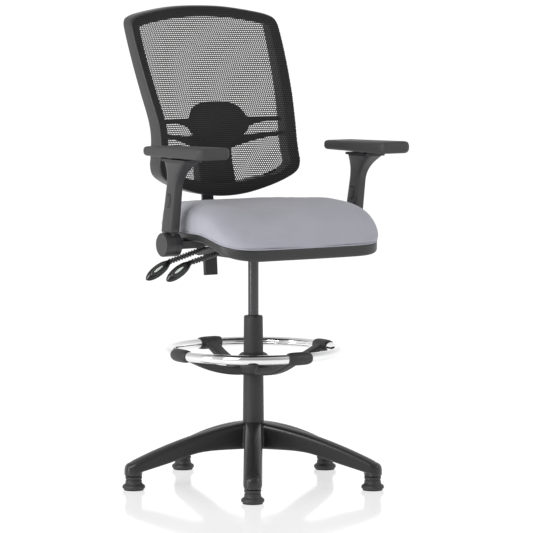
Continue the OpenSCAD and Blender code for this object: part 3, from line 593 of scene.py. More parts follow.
def leg_ring(r, inset):
    """One section across a leg, r from the hub's axis. An inset gives the hollow under its skin."""
    end = r - GLIDE_R
    high, low = leg_top(min(r, GLIDE_R + 4)) - inset, leg_under(r)
    half = LEG_HALF_W - inset
    if end > 0:
        half *= math.sqrt(max(0.02, 1 - (end / (LEG_HALF_W - inset)) ** 2))
        past = min(TIP_ROUND, max(0.0, end - TIP_ROUND))
        high -= 0.35 * end + TIP_ROUND - math.sqrt(TIP_ROUND**2 - past**2)
    low = max(low, LEG_END_LOW) if r > 200 else low
    low -= 5 * smooth((r - 150) / 100)
    if inset:
        low -= 30
    top = half - LEG_DRAFT * min(1, half / LEG_HALF_W)
    corner = min(13, half * 0.6)
    shoulder = high - 3.5 * min(1, half / LEG_HALF_W)
    outline = round_polygon(
        [(-half, low), (half, low), (top, shoulder), (0, high + 1), (-top, shoulder)],
        [3, 3, corner, 30, corner],
        5,
    )
    return [(x, -r, z) for x, z in outline]


def leg_solid():
    stations = list(np.linspace(8, GLIDE_R - 6, 26)) + list(np.linspace(GLIDE_R, GLIDE_R + 24, 10))
    return loft("leg", [leg_ring(r, 0) for r in stations])


def make_base():
    solids = []
    for i in range(LEG_COUNT):
        spin = turn("Z", BASE_TURN + i * 360 / LEG_COUNT)
        leg = leg_solid()
        put(leg, spin)
        foot_profile = [(0, 36.2), (21.5, 36.2), (22.6, 37.5), (23, 56), (0, 60)]
        foot = lathe("foot", foot_profile, 48, spin @ move(0, -GLIDE_R, 0))
        solids += [leg, foot]
    hub_profile = [(0, HUB_LOW), (36, HUB_LOW), (36, 150), (32, HUB_TOP - 1), (31, HUB_TOP), (0, HUB_TOP)]
    solids.append(lathe("hub", hub_profile, 64))
    base = fuse("base_shell", solids, 2.0, 8)
    cavities = []
    for i in range(LEG_COUNT):
        spin = turn("Z", BASE_TURN + i * 360 / LEG_COUNT)
        for r0, r1 in ((50, 108), (112, 168), (172, 228), (232, 300)):
            cell = loft("cell", [leg_ring(r, LEG_WALL) for r in np.linspace(r0, r1, 6)])
            put(cell, spin)
            cavities.append(cell)
    over = HUB_TOP + 14
    bore_profile = [(0, 90), (24, 90), (26.2, 100), (28.15, HUB_TOP + 2), (28.15, over), (0, over)]
    cavities.append(lathe("bore", bore_profile, 64))
    for c in cavities:
        cut(base, c)
    sharpen(base, 38)
    piece(base, BASE, "base", ["base_star"])


make_base()

# ---- foot ring ------------------------------------------------------------

RING_R = 223
RING_Z = 357
RING_TUBE_R = 12.5
CLIP_R = 17.4
CLIP_SPREAD = 8.9


def tube_ring(angle, minor, count):
    """A circle round the ring's tube, at an angle along it."""
    c, s = math.cos(angle), math.sin(angle)
    ring = []
    for k in range(count):
        a = FULL_TURN * k / count
        reach = RING_R + minor * math.cos(a)
        ring.append((reach * c, reach * s, RING_Z + minor * math.sin(a)))
    return ring


def ring_solid(name, minor, count, around):
    rings = [tube_ring(math.radians(360.0 * k / count), minor, around) for k in range(count)]
    return loft(name, rings, closed=True)


def spider_low(r):
    return 296 + 52 * clamp01((r - 40) / 172) ** 2


def spider_high(r):
    return 320 + 46 * clamp01((r - 60) / 152) ** 1.8


def make_foot_ring():
    ring = ring_solid("ring_chrome_tube", RING_TUBE_R, 192, 36)
    piece(ring, CHROME, "foot_ring", ["ring_tube"])
    hub_profile = [
        (28, 296), (44, 296), (51, 302), (57, 316), (55, 326),
        (47, 336), (39, 345), (33.5, 351), (28, 352),
    ]
    solids = [lathe("hub", hub_profile, 64)]
    for quarter in range(4):
        rings = []
        for r in np.linspace(34, 209, 16):
            low, high = spider_low(r), spider_high(r)
            half = 17 + 1.5 * smooth((r - 150) / 60) + 7 * smooth((110 - r) / 70)
            mid, tall = (low + high) / 2, (high - low) / 2
            rings.append([(x, -r, mid + z) for x, z in super_ring(half, tall, 4.5, 28)])
        arm = loft("arm", rings)
        put(arm, turn("Z", 90 * quarter))
        clip_rings = []
        for k in range(13):
            t = -1 + 2 * k / 12
            angle = math.radians(90 * quarter - 90 + CLIP_SPREAD * t)
            clip_rings.append(tube_ring(angle, CLIP_R * (1 - 0.16 * abs(t) ** 5), 32))
        solids += [arm, loft("clip", clip_rings)]
    spider = fuse("ring_hub", solids, 1.9, 6)
    cut(spider, ring_solid("way", RING_TUBE_R + 0.05, 144, 32))
    cut(spider, lathe("bore", [(0, 280), (30.6, 280), (30.6, 370), (0, 370)], 96))
    knob_way = move(0, 0, 309) @ turn("X", -90) @ turn("Y", 45)
    cut(spider, lathe("hole", [(0, 20), (4.1, 20), (4.1, 80), (0, 80)], 24, knob_way))
    sharpen(spider, 38)
    piece(spider, NYLON, "foot_ring", ["ring_spider"])


make_foot_ring()

# ---- seat -----------------------------------------------------------------

SEAT_HALF = [
    (110, 0), (196, 12), (240, 56), (251, 125), (249, 215),
    (240, 300), (229, 365), (207, 425), (160, 465), (90, 479),
]
SEAT_MID_Y = -52
SEAT_HALF_W = 250
SEAT_HALF_L = 240
POINTS_HALF_W = 251
SEAM_GAP = 0.6
WELT_R = 1.7
SEAT_POINTS = SEAT_HALF + [(-x, y) for x, y in reversed(SEAT_HALF)]


def seam_z(y):
    return lerp(649, 683, smooth((y + 305) / 190))


def rim_h(y):
    return lerp(30, 19, smooth((y + 300) / 170))


def seat_outline(grow, steps):
    """The seat seen from above, grown a little."""
    wide, long = SEAT_HALF_W + grow, SEAT_HALF_L + grow
    return [
        (p[0] * wide / POINTS_HALF_W, SEAT_MID_Y + (p[1] - SEAT_HALF_L) * long / SEAT_HALF_L)
        for p in closed_spline(SEAT_POINTS, steps)
    ]


def draw_in(x, y, share):
    """A point of the seat moved towards its middle."""
    return x * share, SEAT_MID_Y + (y - SEAT_MID_Y) * share


def make_pan():
    outer = [
        (-8.4, 3.0), (-8.2, 0.9), (-7.4, 0.2), (-6.4, 0),
        (-5.2, 0.2), (-4.4, 1), (-4.05, 2.4), (-4.0, 6),
    ]
    under = [(-4.0, 9.0), (-4.3, 5.5), (-5.4, 3), (-7.4, 1.2), (-10, 0.3), (-14, 0)]
    shares = [0.97, 0.9, 0.8, 0.68, 0.55, 0.42, 0.3, 0.18, 0.07]

    def ring(grow, up, share=1.0, from_seam=False):
        """A ring so far above the pan's floor, or below the seam."""
        out = []
        for x, y in seat_outline(grow, 12):
            x, y = draw_in(x, y, share)
            z = seam_z(y)
            out.append((x, y, z - up if from_seam else z - rim_h(y) + up))
        return out

    rings = [ring(g, z, from_seam=True) for g, z in outer]
    rings += [ring(g, z) for g, z in under]
    rings += [ring(-14, 0, s) for s in shares]
    rings += [ring(-14, 4, s) for s in reversed(shares)]
    rings += [ring(-13, 4), ring(-9.5, 5.5), ring(-8.4, 9)]
    pan = loft("seat_shell", rings, closed=True)
    weld(pan)
    unite(pan, box_solid("pocket", -191, 191, -123, 137, 654, 667))
    cut(pan, box_solid("pocket_room", -187, 187, -119, 133, 658.2, 700))
    sharpen(pan, 50)
    piece(pan, PAN, "seat", ["seat_pan"])


make_pan()

CROWN = [
    (-300, 702), (-292, 703), (-268, 709), (-238, 718), (-195, 728), (-140, 735), (-60, 740), (30, 743),
    (95, 746), (128, 747), (148, 748), (200, 748),
]


def crown_z(x, y):
    """Height of the cushion's top if its edges weren't rounded."""
    dish = 4 * math.exp(-((x / 130) ** 2) - ((y - 5) / 110) ** 2)
    wings = 16 * smooth((abs(x) - 90) / 120) * smooth((y + 295) / 120) * (1 - 0.85 * smooth((y + 60) / 200))
    return interp(CROWN, y) - dish + wings


def edge_power(y):
    """How boxy the edge is: round at the front, tighter at the sides, tightest at the rear."""
    t = clamp01((y - SEAT_MID_Y) / 480 + 0.5)
    return lerp(lerp(2.8, 7.0, smooth(t * 2.6)), 8.5, smooth((t - 0.7) / 0.3))


def make_cushion():
    outline = seat_outline(0.0, 10)
    rings = []
    steps = 22
    for s in (0.03, 0.35, 0.7, 0.92):
        inner = [draw_in(x, y, s) for x, y in outline]
        rings.append([(x, y, seam_z(y) + SEAM_GAP) for x, y in inner])
    for k in range(steps + 1):
        ring = []
        for x, y in outline:
            power = edge_power(y)
            t = 0.5 * math.pi * k / steps
            share = max(0.02, math.cos(t) ** (2 / power)) if k < steps else 0.02
            rise = math.sin(t) ** (2 / power)
            px, py = draw_in(x, y, share)
            foot = seam_z(py) + SEAM_GAP
            high = (crown_z(px, py) - foot) * rise
            tuck = 1 - 0.014 * (1 - smooth(high / 16))
            ring.append((*draw_in(px, py, tuck), foot + high))
        rings.append(ring)
    cushion = loft("cushion", rings)
    weld(cushion)
    swell(cushion)
    sharpen(cushion, 60)
    piece(cushion, SEAT, "seat", ["seat_cushion"])


def make_welt():
    """The cord along the cushion's seam."""
    rings = []
    turns = [FULL_TURN * k / 10 for k in range(10)]
    path = seat_outline(-4.4, 14)
    n = len(path)
    for i, (x, y) in enumerate(path):
        a, b = path[i - 1], path[(i + 1) % n]
        d = Vector((b[0] - a[0], b[1] - a[1], seam_z(b[1]) - seam_z(a[1]))).normalized()
        out = Vector((d.y, -d.x, 0)).normalized()
        up = d.cross(out)
        centre = Vector((x, y, seam_z(y) + 1.9))
        rings.append([centre + WELT_R * (math.cos(t) * out + math.sin(t) * up) for t in turns])
    welt = loft("cushion_welt", rings, closed=True)
    piece(welt, SEAT, "seat")


SWELL_MOST = 7.0
CLOTH_PRESSURE = 4
CLOTH_FRAMES = 20
HELD_BELOW = 6
HELD_FADE = 20


def swell(obj):
    """Blows the cushion up a little as cloth, held at its seam, and keeps each point near where it was."""
    even_out(obj, 5.0, 6)
    count = len(obj.data.vertices)
    start = np.zeros(count * 3)
    obj.data.vertices.foreach_get("co", start)
    start = start.reshape(-1, 3)
    pinned = obj.vertex_groups.new(name="held")
    for i, p in enumerate(start):
        above = p[2] / MM - seam_z(p[1] / MM)
        pinned.add([i], 1.0 - smooth((above - HELD_BELOW) / HELD_FADE), "REPLACE")
    cloth = obj.modifiers.new("cloth", "CLOTH")
    cloth.settings.use_pressure = True
    cloth.settings.uniform_pressure_force = CLOTH_PRESSURE
    cloth.settings.effector_weights.gravity = 0
    cloth.settings.vertex_group_mass = "held"
    cloth.settings.quality = 5
    scene = bpy.context.scene
    for f in range(1, CLOTH_FRAMES + 1):
        scene.frame_set(f)
    settle(obj)
    scene.frame_set(1)
    moved = np.zeros(count * 3)
    obj.data.vertices.foreach_get("co", moved)
    moved = moved.reshape(-1, 3)
    step = moved - start
    length = np.linalg.norm(step, axis=1, keepdims=True) + 1e-12
    limit = SWELL_MOST * MM
    step = step / length * (limit * np.tanh(length / limit))
    obj.data.vertices.foreach_set("co", (start + step).ravel())
    obj.data.update()
    soften(obj, 3)


make_cushion()
make_welt()

# ---- arms -----------------------------------------------------------------

ARM_X = 284
ARM_LEAN = 10.7
PIVOT_Y = -42
PIVOT_Z = 654
SLEEVE_LOW = 687
SLEEVE_TOP = 872
BUTTON_UP = 118
BUTTON_HALF_W = 9
BUTTON_HALF_L = 17


def sleeve_flare(z):
    return clamp01((z - 800) / (SLEEVE_TOP - 800)) ** 2.4


def sleeve_y(z):
    return PIVOT_Y - (z - PIVOT_Z) * math.tan(math.radians(ARM_LEAN)) - 22 * sleeve_flare(z)


def sleeve_ring(z, shrink=0.0):
    taper = clamp01((z - 690) / 150)
    a = lerp(lerp(15.5, 13.5, taper), 27, sleeve_flare(z)) - shrink
    b = lerp(lerp(26, 22, taper), 56, sleeve_flare(z)) - shrink
    power = lerp(5.0, 4.0, sleeve_flare(z))
    return [(ARM_X + x, sleeve_y(z) + y, z) for x, y in super_ring(a, b, power, 48)]


def arm_place():
    return move(0, PIVOT_Y, PIVOT_Z) @ turn("X", ARM_LEAN)


def stadium(half_w, half_l, count=24):
    """Outline of a slot: two half circles joined by straight sides."""
    return [
        (half_w * math.cos(a), (half_l - half_w) * (1 if math.sin(a) >= 0 else -1) + half_w * math.sin(a))
        for a in (FULL_TURN * (k + 0.5) / count for k in range(count))
    ]


def button_solid(name, x_low, x_high, grow, crown=0.0):
    """A slot-shaped plug along X, at the button's place on an arm."""
    rings = []
    steps = [(x_low, 0.0), (x_high, 0.0)]
    if crown:
        steps = [(x_high, 0.0), (x_low + crown, 0.0), (x_low + 0.35 * crown, 0.5), (x_low, 1.6)]
    for x, inset in steps:
        outline = stadium(BUTTON_HALF_W + grow - inset, BUTTON_HALF_L + grow - inset)
        rings.append([(x, y, BUTTON_UP + z) for y, z in outline])
    obj = loft(name, rings, sharp=40)
    put(obj, arm_place())
    return obj


def mirror_x(obj):
    obj.data.transform(Matrix.Scale(-1, 4, (1, 0, 0)))
    obj.data.flip_normals()


def make_sleeve(side):
    name = "left" if side > 0 else "right"
    stations = [(SLEEVE_LOW, 2.2), (SLEEVE_LOW + 0.7, 0.9), (SLEEVE_LOW + 2.2, 0.0)]
    stations += [(z, 0.0) for z in np.linspace(700, 795, 8)]
    stations += [(z, 0.0) for z in np.linspace(800, SLEEVE_TOP - 2, 22)]
    stations += [(SLEEVE_TOP - 0.8, 0.3), (SLEEVE_TOP, 1.4)]
    sleeve = loft(f"sleeve_{name}", [sleeve_ring(z, s) for z, s in stations])
    slot = box_solid("slot", 277.5, 289.5, -16.5, 16.5, 0, 168)
    put(slot, arm_place())
    cut(sleeve, slot)
    if side > 0:
        cut(sleeve, button_solid("recess", 260, 276.8, 1.3))
        button = button_solid("arm_release_left", 267.8, 272.8, 0.0, 2.4)
    else:
        mirror_x(sleeve)
        cut(sleeve, button_solid("recess", -310, -291.3, 1.3))
        button = button_solid("arm_release_right", -300.3, -295.4, 0.0, 2.4)
    sharpen(sleeve, 42)
    piece(sleeve, ARM, f"arm_upper_{name}", [f"arm_sleeve_{name}"])
    piece(button, NYLON, f"button_{name}", [f"arm_button_{name}"])


PAD_LENGTH = 288
PAD_W = 96
PAD_LOW = 882.5
PAD_HIGH = 915
PAD_X = 280
PAD_MID_Y = -121
PAD_REAR = PAD_LENGTH / 2
PAD_DROP = 7
PAD_CROWN = 1.2
PAD_EDGE = 13.5


def corner_arc(x, y, r, start, steps=8):
    """A quarter circle from an angle on."""
    turns = [math.radians(start + 90 * k / steps) for k in range(steps + 1)]
    return [(x + r * math.cos(t), y + r * math.sin(t)) for t in turns]


def pad_path():
    """Outline of the pad, with +X outwards: the outer front corner is the roundest."""
    w, r, f = PAD_W / 2, 14, 26
    path = corner_arc(w - r, PAD_REAR - r, r, 0) + corner_arc(r - w, PAD_REAR - r, r, 90)
    path += corner_arc(r - w, r - PAD_REAR, r, 180) + corner_arc(w - f, f - PAD_REAR, f, 270, 12)
    return path


def inward(path, depth):
    """A closed path moved inwards by a depth."""
    n, out = len(path), []
    area = sum(path[i - 1][0] * path[i][1] - path[i][0] * path[i - 1][1] for i in range(n))
    sign = 1 if area > 0 else -1
    for i, p in enumerate(path):
        a, b = path[i - 1], path[(i + 1) % n]
        dx, dy = b[0] - a[0], b[1] - a[1]
        length = math.hypot(dx, dy) or 1
        out.append((p[0] - sign * dy / length * depth, p[1] + sign * dx / length * depth))
    return out


def make_pad(side):
    name = "left" if side > 0 else "right"
    path = pad_path()
    rings = []

    def layer(points, up):
        """A ring at a share of the pad's thickness, whose top falls towards the rear."""
        out = []
        for x, y in points:
            high = PAD_HIGH - PAD_DROP * (y + PAD_REAR) / PAD_LENGTH
            crown = PAD_CROWN * (1 - (2 * x / PAD_W) ** 2) if up > 0.9 else 0
            out.append((x, y, lerp(PAD_LOW, high, 0.5 + 0.5 * up) - PAD_CROWN * (up > 0.9) + crown))
        return out

    for k in range(21):
        t = -0.5 * math.pi + math.pi * k / 20
        depth = PAD_EDGE * (1 - max(0.0, math.cos(t)) ** 0.8)
        rings.append(layer(inward(path, depth), spow(math.sin(t), 0.8)))
    inner = inward(path, PAD_EDGE)
    for s in (0.85, 0.6, 0.3, 0.05):
        rings.append(layer([(x * s, y * s) for x, y in inner], 1))
        rings.insert(0, layer([(x * s, y * s) for x, y in inner], -1))
    pad = loft(f"pad_{name}", rings)
    put(pad, move(PAD_X, PAD_MID_Y, 0))
    if side < 0:
        mirror_x(pad)
    sharpen(pad, 60)
    piece(pad, PAD, f"arm_upper_{name}", [f"arm_pad_{name}"])


for side in (1, -1):
    make_sleeve(side)
    make_pad(side)

# ---- levers ---------------------------------------------------------------

LEVER_Z = 640
LEVER_BEND_X = -102
LEVER_TIP_X = -238
PADDLE_DROP = 32
PADDLE_LEN = 84
PADDLE_TWIST = -55
PADDLE_HALF = [
    (3, 6.8), (8, 9), (14, 11.6), (22, 13.8), (36, 15.4), (50, 15.2),
    (61, 13.8), (70, 11.4), (77, 8.2), (82, 4.6), (PADDLE_LEN, 1.5),
]
INSET_AT = 42
RIB_PITCH = 8.8


def paddle_flat(z):
    return lerp(0.82, 0.68, smooth(z / 25))


def make_lever(name, y, bellows_drop):
    length = (LEVER_BEND_X - LEVER_TIP_X) / math.cos(math.radians(bellows_drop))
    count = int(length // RIB_PITCH)
    profile = [(3.65, 3.0), (5.2, 3.0)]
    for i in range(count):
        base = 3 + i * RIB_PITCH
        for k in range(9):
            t = k / 8
            profile.append((3.9 + 3.9 * math.sin(math.pi * t) ** 1.5, base + 0.2 + 8.4 * t))
    profile += [(5.4, 3 + count * RIB_PITCH), (6.4, length - 1), (6.4, length + 3), (3.65, length + 3)]
    neck = move(LEVER_BEND_X, y, LEVER_Z) @ turn("Y", -90 - bellows_drop)
    sleeve = lathe(f"{name}_sleeve", profile, 32, neck, sharp=80)
    piece(sleeve, RUBBER, name, [f"{name}_bellows"])
    tip_z = LEVER_Z + (LEVER_TIP_X - LEVER_BEND_X) * math.tan(math.radians(bellows_drop))
    tip = move(LEVER_TIP_X, y, tip_z) @ turn("Y", -90 - PADDLE_DROP) @ turn("Z", PADDLE_TWIST)
    rings = []
    for k in range(49):
        z = 3 + (PADDLE_LEN - 3) * (0.5 - 0.5 * math.cos(math.pi * k / 48))
        h = interp(PADDLE_HALF, z)
        rings.append([(paddle_flat(z) * x, yy, z) for x, yy in super_ring(h, h, 2.1, 40)])
    blade = loft(f"{name}_blade", rings)
    soften(blade, 3, 0.4)
    put(blade, tip)
    sharpen(blade, 60)
    piece(blade, GLOSS, name, [f"{name}_paddle"])
    # The dark gloss inset, and on it a raised pale patch that is partly a painted highlight for the inset's
    # reflection streak, partly the pale icons.
    for tag, long, wide, lift, mat in (("inset", 26, 0.64, 0.0, INSET), ("lens", 15, 0.2, 1.3, HIGHLIGHT_AND_ICONS)):
        patch = []
        for share, rise in ((1.0, -0.8), (1.0, 0.3), (0.94, 0.75), (0.8, 0.95), (0.5, 1.15), (0.1, 1.2)):
            ring = []
            for k in range(40):
                t = FULL_TURN * k / 40
                z = INSET_AT + long * share * math.cos(t)
                across = wide * share * math.sin(t) * interp(PADDLE_HALF, INSET_AT)
                h = interp(PADDLE_HALF, z)
                a = math.asin(max(-0.95, min(0.95, across / h)))
                out = paddle_flat(z) * h * math.cos(a) + rise * (0.4 if lift else 1) + lift
                ring.append((out, across, z))
            patch.append(ring)
        part = loft(f"{name}_{tag}", patch)
        put(part, tip)
        sharpen(part, 50)
        piece(part, mat, name)


make_lever("height_lever", -72, 13.5)
make_lever("tilt_lever", 32, 15.5)

# ---- back -----------------------------------------------------------------

BACK_TOP = 1265
BACK_LOW = 759
BACK_HALF_W = 232
HALF_OUTLINE = [
    (80, BACK_TOP - 3.5), (160, BACK_TOP - 15), (207, BACK_TOP - 26), (228, BACK_TOP - 41),
    (BACK_HALF_W, BACK_TOP - 75), (BACK_HALF_W - 2, 1115), (224, 1035), (216, 965), (214, 915),
    (218, 870), (221, 846), (214, 822), (188, 803), (140, 783), (70, 765),
]
BACK_POINTS = [(0, BACK_TOP)] + HALF_OUTLINE + [(0, BACK_LOW)]
BACK_POINTS += [(-x, z) for x, z in reversed(HALF_OUTLINE)]


def back_y(z):
    return 106 + 0.48 * ramp(z - 940, 20) - 0.04 * ramp(900 - z, 20)


def back_bow(z):
    return lerp(30, 13, smooth((z - 1120) / 145))


def back_surface(x, z):
    return back_y(z) + back_bow(z) * (1 - min(1.0, abs(x) / BACK_HALF_W) ** 3)


def frame_depth(z):
    return lerp(55, 43, clamp01((z - 900) / 350))


def make_back():
    path = closed_spline(BACK_POINTS, 8)
    n = len(path)
    wall = 4
    rings = []
    for i, p in enumerate(path):
        d = path[(i + 1) % n] - path[i - 1]
        d = d / np.linalg.norm(d)
        normal = np.array((d[1], -d[0]))
        strip = lerp(36 if normal[1] > 0 else 30, 28, abs(normal[0]))
        if p[1] < 870:
            strip -= 9 * math.exp(-(((abs(p[0]) - 168) / 36) ** 2))
        deep = frame_depth(p[1])
        section = round_polygon(
            [
                (0, 1.2), (strip, 0.4), (strip - 2.5, deep - 4), (strip - 3 - wall, deep - 4),
                (strip - wall, 3 + wall), (wall + 1, 4 + wall), (wall, deep), (0.4, deep - 0.5),
            ],
            [9, 3.5, 1.5, 1.5, 3, 3, 1.5, 1.5],
            5,
        )
        ring = []
        for inside, back in section:
            q = p + inside * normal
            ring.append((q[0], back_surface(q[0], q[1]) + back, q[1]))
        rings.append(ring)
    shell = loft("back_shell", rings, closed=True)
    sharpen(shell, 50)
    piece(shell, FRAME, "backrest", ["back_frame"])

    shares = [0.985, 0.965, 0.93] + list(np.linspace(0.88, 0.04, 22))
    mid_z = 1010
    points, faces = [], []
    for f in shares:
        for x, z in path:
            x, z = x * f, mid_z + (z - mid_z) * f
            points.append((x, back_surface(x, z) - 0.6, z))
    for i in range(len(shares) - 1):
        for k in range(n):
            a, b = i * n + k, i * n + (k + 1) % n
            faces.append((a, b, b + n, a + n))
    points.append((0, back_surface(0, mid_z) - 0.6, mid_z))
    last = (len(shares) - 1) * n
    faces += [(last + k, last + (k + 1) % n, len(points) - 1) for k in range(n)]
    sheet = new_object("back_net", points, faces)
    fix_normals(sheet.data)
    sheet.data.shade_smooth()
    piece(sheet, NET, "backrest", ["back_mesh"])


make_back()

BAR_Y = 222.5
BAR_Z = 630
BAR_LEAN = 4.5
DOME_HALF = 92
YOKE_END_X = 186.2
YOKE_END_Z = 922


def bar_place():
    return move(0, BAR_Y, BAR_Z) @ turn("X", -BAR_LEAN)


def make_yoke():
    """The spine behind the mesh and its two arms, as one soft moulding."""
    place = bar_place()
    solids = []
    rings = []
    for k in range(25):
        z = lerp(156, 322, k / 24)
        half = lerp(56, 51, k / 24)
        forward = 11 * (1 - smooth((z - 156) / 70)) + 3 * smooth((z - 290) / 30)
        front = -50.5 - forward
        inner = -45 - forward * 0.6
        outline = round_polygon(
            [
                (-half, front), (half, front), (half, -24), (half - 4, -24),
                (half - 4, inner), (4 - half, inner), (4 - half, -24), (-half, -24),
            ],
            [6, 6, 1.5, 1.5, 3, 3, 1.5, 1.5],
        )
        rings.append([(x, y, z) for x, y in outline])
    spine = loft("spine", rings)
    put(spine, place)
    solids.append(spine)
    for s in (-1, 1):
        rib = box_solid("rib", s * 31, s * 34.5, -47, 12, 176, 310)
        put(rib, place)
        solids.append(rib)
        end_y = back_surface(YOKE_END_X, YOKE_END_Z) + 22
        rings = []
        for k in range(21):
            t = k / 20
            x = s * lerp(44, YOKE_END_X, t)
            y = lerp(194.5, end_y, smooth(t)) + 4
            z = lerp(903, YOKE_END_Z, smooth(t))
            tall = 6.0 + 17 * (1 - t) ** 2.6
            rings.append([(x, y + b, z + a) for a, b in super_ring(tall, 4.4, 4, 28)])
        solids.append(loft("arm", rings))
    yoke = fuse("yoke_shell", solids, 1.7, 4)
    piece(yoke, FRAME, "backrest", ["back_yoke"])


def make_lumbar():
    rings = []
    for k in range(57):
        u = -1 + 2 * k / 56
        x = (DOME_HALF - 0.5) * u
        high = 956 + 54 * max(0.0, 1 - abs(u) ** 3.0) ** 0.5
        low = 903 + 30 * abs(u) ** 3
        y = 178 - 4 * u * u
        mid, tall = (high + low) / 2, max(1.5, (high - low) / 2)
        ring = []
        for a, b in super_ring(tall, 3.5, 5, 36):
            z = mid + a
            back = 14 * clamp01(a / tall) ** 3 * min(1.0, tall / 45)
            ring.append((x, y - 3.5 + b + back + 0.1 * (z - 930), z))
        rings.append(ring)
    solids = [loft("dome", rings)]
    for s in (-1, 1):
        rings = []
        for k in range(19):
            u = k / 18
            x = s * lerp(74, 181.5, u)
            y = lerp(178.0, back_surface(181, 960) + 16, smooth(u))
            high = lerp(966, 965.5, u) + 14 * (1 - u) ** 9
            low = 955.5 - 30 * (1 - u) ** 3.2
            mid, tall = (high + low) / 2, (high - low) / 2
            rings.append([(x, y + b, mid + a) for a, b in super_ring(tall, 3.0, 3.5, 28)])
        solids.append(loft("reach", rings))
    pad = fuse("lumbar_shell", solids, 1.5, 4)
    piece(pad, FRAME, "lumbar", ["lumbar_pad"])


make_yoke()
make_lumbar()

# ---- CAD nodes that show as they are, with softened edges ----------------

CARRIED = {
    "hub_ring": (ZINC, 0.4), "glide_bodies": (NYLON, 0.8), "glide_stems": (ZINC, 0.4),
    "glide_soles": (FELT, 0.4), "stand_tube": (NYLON, 0.5), "guide_bush": (NYLON, 0.4),
    "rod_clip": (SPRING, 0.2), "thrust_bearing": (ZINC, 0), "piston_rod": (ZINC, 0.3),
    "piston": (STEEL, 0.3), "thrust_washer": (ZINC, 0.2), "gas_cylinder": (LIFT, 0.4),
    "mechanism_body": (STEEL, 1.4), "taper_bush": (ZINC, 0.4), "hinge_pin": (ZINC, 0.5),
    "back_spring": (SPRING, 0), "seat_board": (PLY, 0.5), "seat_bolts": (ZINC, 0.3),
    "tee_nuts": (ZINC, 0.3), "arm_bracket_left": (STEEL, 1.0), "arm_bracket_right": (STEEL, 1.0),
    "bracket_covers": (ARM, 1.5), "arm_bolts": (ZINC, 0.3), "arm_pins": (ZINC, 0.4),
    "valve_pin": (ZINC, 0.2), "height_lever_rod": (STEEL, 0.2), "tilt_lever_rod": (STEEL, 0.2),
    "back_bracket": (STEEL, 0.8), "back_upright": (STEEL, 0.6), "upright_cover": (NYLON, 0.9),
    "bracket_bolts": (ZINC, 0.3), "mesh_spline": (FRAME, 0.6), "ratchet_housing": (NYLON, 1.2),
    "back_screws": (ZINC, 0.3), "ring_collet": (NYLON, 0.4), "ring_knob": (NYLON, 1.2),
    "arm_hub_left": (ARM, 2.2), "arm_hub_right": (ARM, 2.2), "arm_plate_left": (STEEL, 0.8),
    "arm_plate_right": (STEEL, 0.8),
}

for node, (material, width) in CARRIED.items():
    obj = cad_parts[node]
    dress(obj, material)
    if width:
        w = obj.modifiers.new("weld", "WELD")
        w.merge_threshold = 0.00001
        b = obj.modifiers.new("edges", "BEVEL")
        b.width = width * MM
        b.segments = 3
        b.limit_method = "ANGLE"
        b.angle_limit = math.radians(40)
        b.harden_normals = False
        b.use_clamp_overlap = True

# ---- floor and light ------------------------------------------------------


FLOOR_HALF = 90000
FLOOR_SHINE = 0.3
FLOOR_GLOW = 0.58


def spread(node, low, high, to_low, to_high):
    """Fills a Map Range node's limits."""
    for socket, value in zip(node.inputs[1:5], (low, high, to_low, to_high)):
        socket.default_value = value


def make_floor():
    """A pale floor with a faint mirror in it, bright enough to run into the sky."""
    material = bpy.data.materials.new("studio_floor")
    material.use_nodes = True
    tree = material.node_tree
    tree.nodes.clear()
    out = tree.nodes.new("ShaderNodeOutputMaterial")
    mix = tree.nodes.new("ShaderNodeMixShader")
    matt = tree.nodes.new("ShaderNodeBsdfDiffuse")
    matt.inputs["Color"].default_value = (0.4, 0.4, 0.4, 1)
    shine = tree.nodes.new("ShaderNodeBsdfGlossy")
    shine.inputs["Color"].default_value = (1, 1, 1, 1)
    shine.inputs["Roughness"].default_value = 0.08
    mix.inputs[0].default_value = FLOOR_SHINE
    glow = tree.nodes.new("ShaderNodeEmission")
    glow.inputs["Strength"].default_value = FLOOR_GLOW
    both = tree.nodes.new("ShaderNodeAddShader")
    tree.links.new(matt.outputs[0], mix.inputs[1])
    tree.links.new(shine.outputs[0], mix.inputs[2])
    tree.links.new(mix.outputs[0], both.inputs[0])
    tree.links.new(glow.outputs[0], both.inputs[1])
    tree.links.new(both.outputs[0], out.inputs["Surface"])
    r = FLOOR_HALF
    floor = new_object("studio_floor", [(-r, -r, 0), (r, -r, 0), (r, r, 0), (-r, r, 0)], [(0, 1, 2, 3)])
    floor.data.materials.append(material)


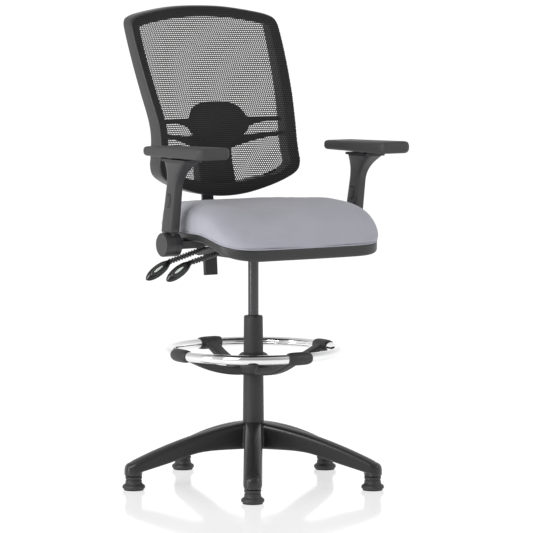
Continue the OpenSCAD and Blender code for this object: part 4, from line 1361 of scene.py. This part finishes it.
def make_sky():
    """White at the horizon, dimmer overhead, and dimmer again behind the camera."""
    world = bpy.data.worlds.new("studio")
    world.use_nodes = True
    sky = world.node_tree
    coords = sky.nodes.new("ShaderNodeTexCoord")
    split = sky.nodes.new("ShaderNodeSeparateXYZ")
    fade = sky.nodes.new("ShaderNodeMapRange")
    spread(fade, 0.12, 0.75, 1.02, 0.6)
    facing = sky.nodes.new("ShaderNodeVectorMath")
    facing.operation = "DOT_PRODUCT"
    facing.inputs[1].default_value = (-0.45, -0.89, 0)
    dim = sky.nodes.new("ShaderNodeMapRange")
    dim.interpolation_type = "SMOOTHSTEP"
    spread(dim, 0.25, 0.95, 1.0, 0.4)
    share = sky.nodes.new("ShaderNodeMath")
    share.operation = "MULTIPLY"
    sky.links.new(coords.outputs["Generated"], split.inputs[0])
    sky.links.new(coords.outputs["Generated"], facing.inputs[0])
    sky.links.new(split.outputs[2], fade.inputs[0])
    sky.links.new(facing.outputs["Value"], dim.inputs[0])
    sky.links.new(fade.outputs[0], share.inputs[0])
    sky.links.new(dim.outputs[0], share.inputs[1])
    sky.nodes["Background"].inputs["Color"].default_value = (1, 1, 1, 1)
    sky.links.new(share.outputs[0], sky.nodes["Background"].inputs["Strength"])
    bpy.context.scene.world = world


def make_lights():
    def area(name, place, target, width, height, power):
        data = bpy.data.lights.new(name, "AREA")
        data.shape = "RECTANGLE"
        data.size, data.size_y = width, height
        data.energy = power
        light = bpy.data.objects.new(name, data)
        light.location = place
        light.rotation_mode = "QUATERNION"
        light.rotation_quaternion = (Vector(target) - Vector(place)).to_track_quat("-Z", "Y")
        bpy.context.scene.collection.objects.link(light)

    area("key", (-3.2, -1.6, 2.8), (0, 0, 0.7), 1.2, 2.2, 75)
    area("edge", (-3.6, 0.3, 1.0), (0, 0, 0.7), 0.5, 3.0, 40)
    area("fill", (2.6, -3.0, 2.6), (0, 0, 0.7), 1.0, 1.8, 25)


make_floor()
make_sky()
make_lights()
view = bpy.context.scene.view_settings
view.view_transform = "Standard"
view.look = "None"
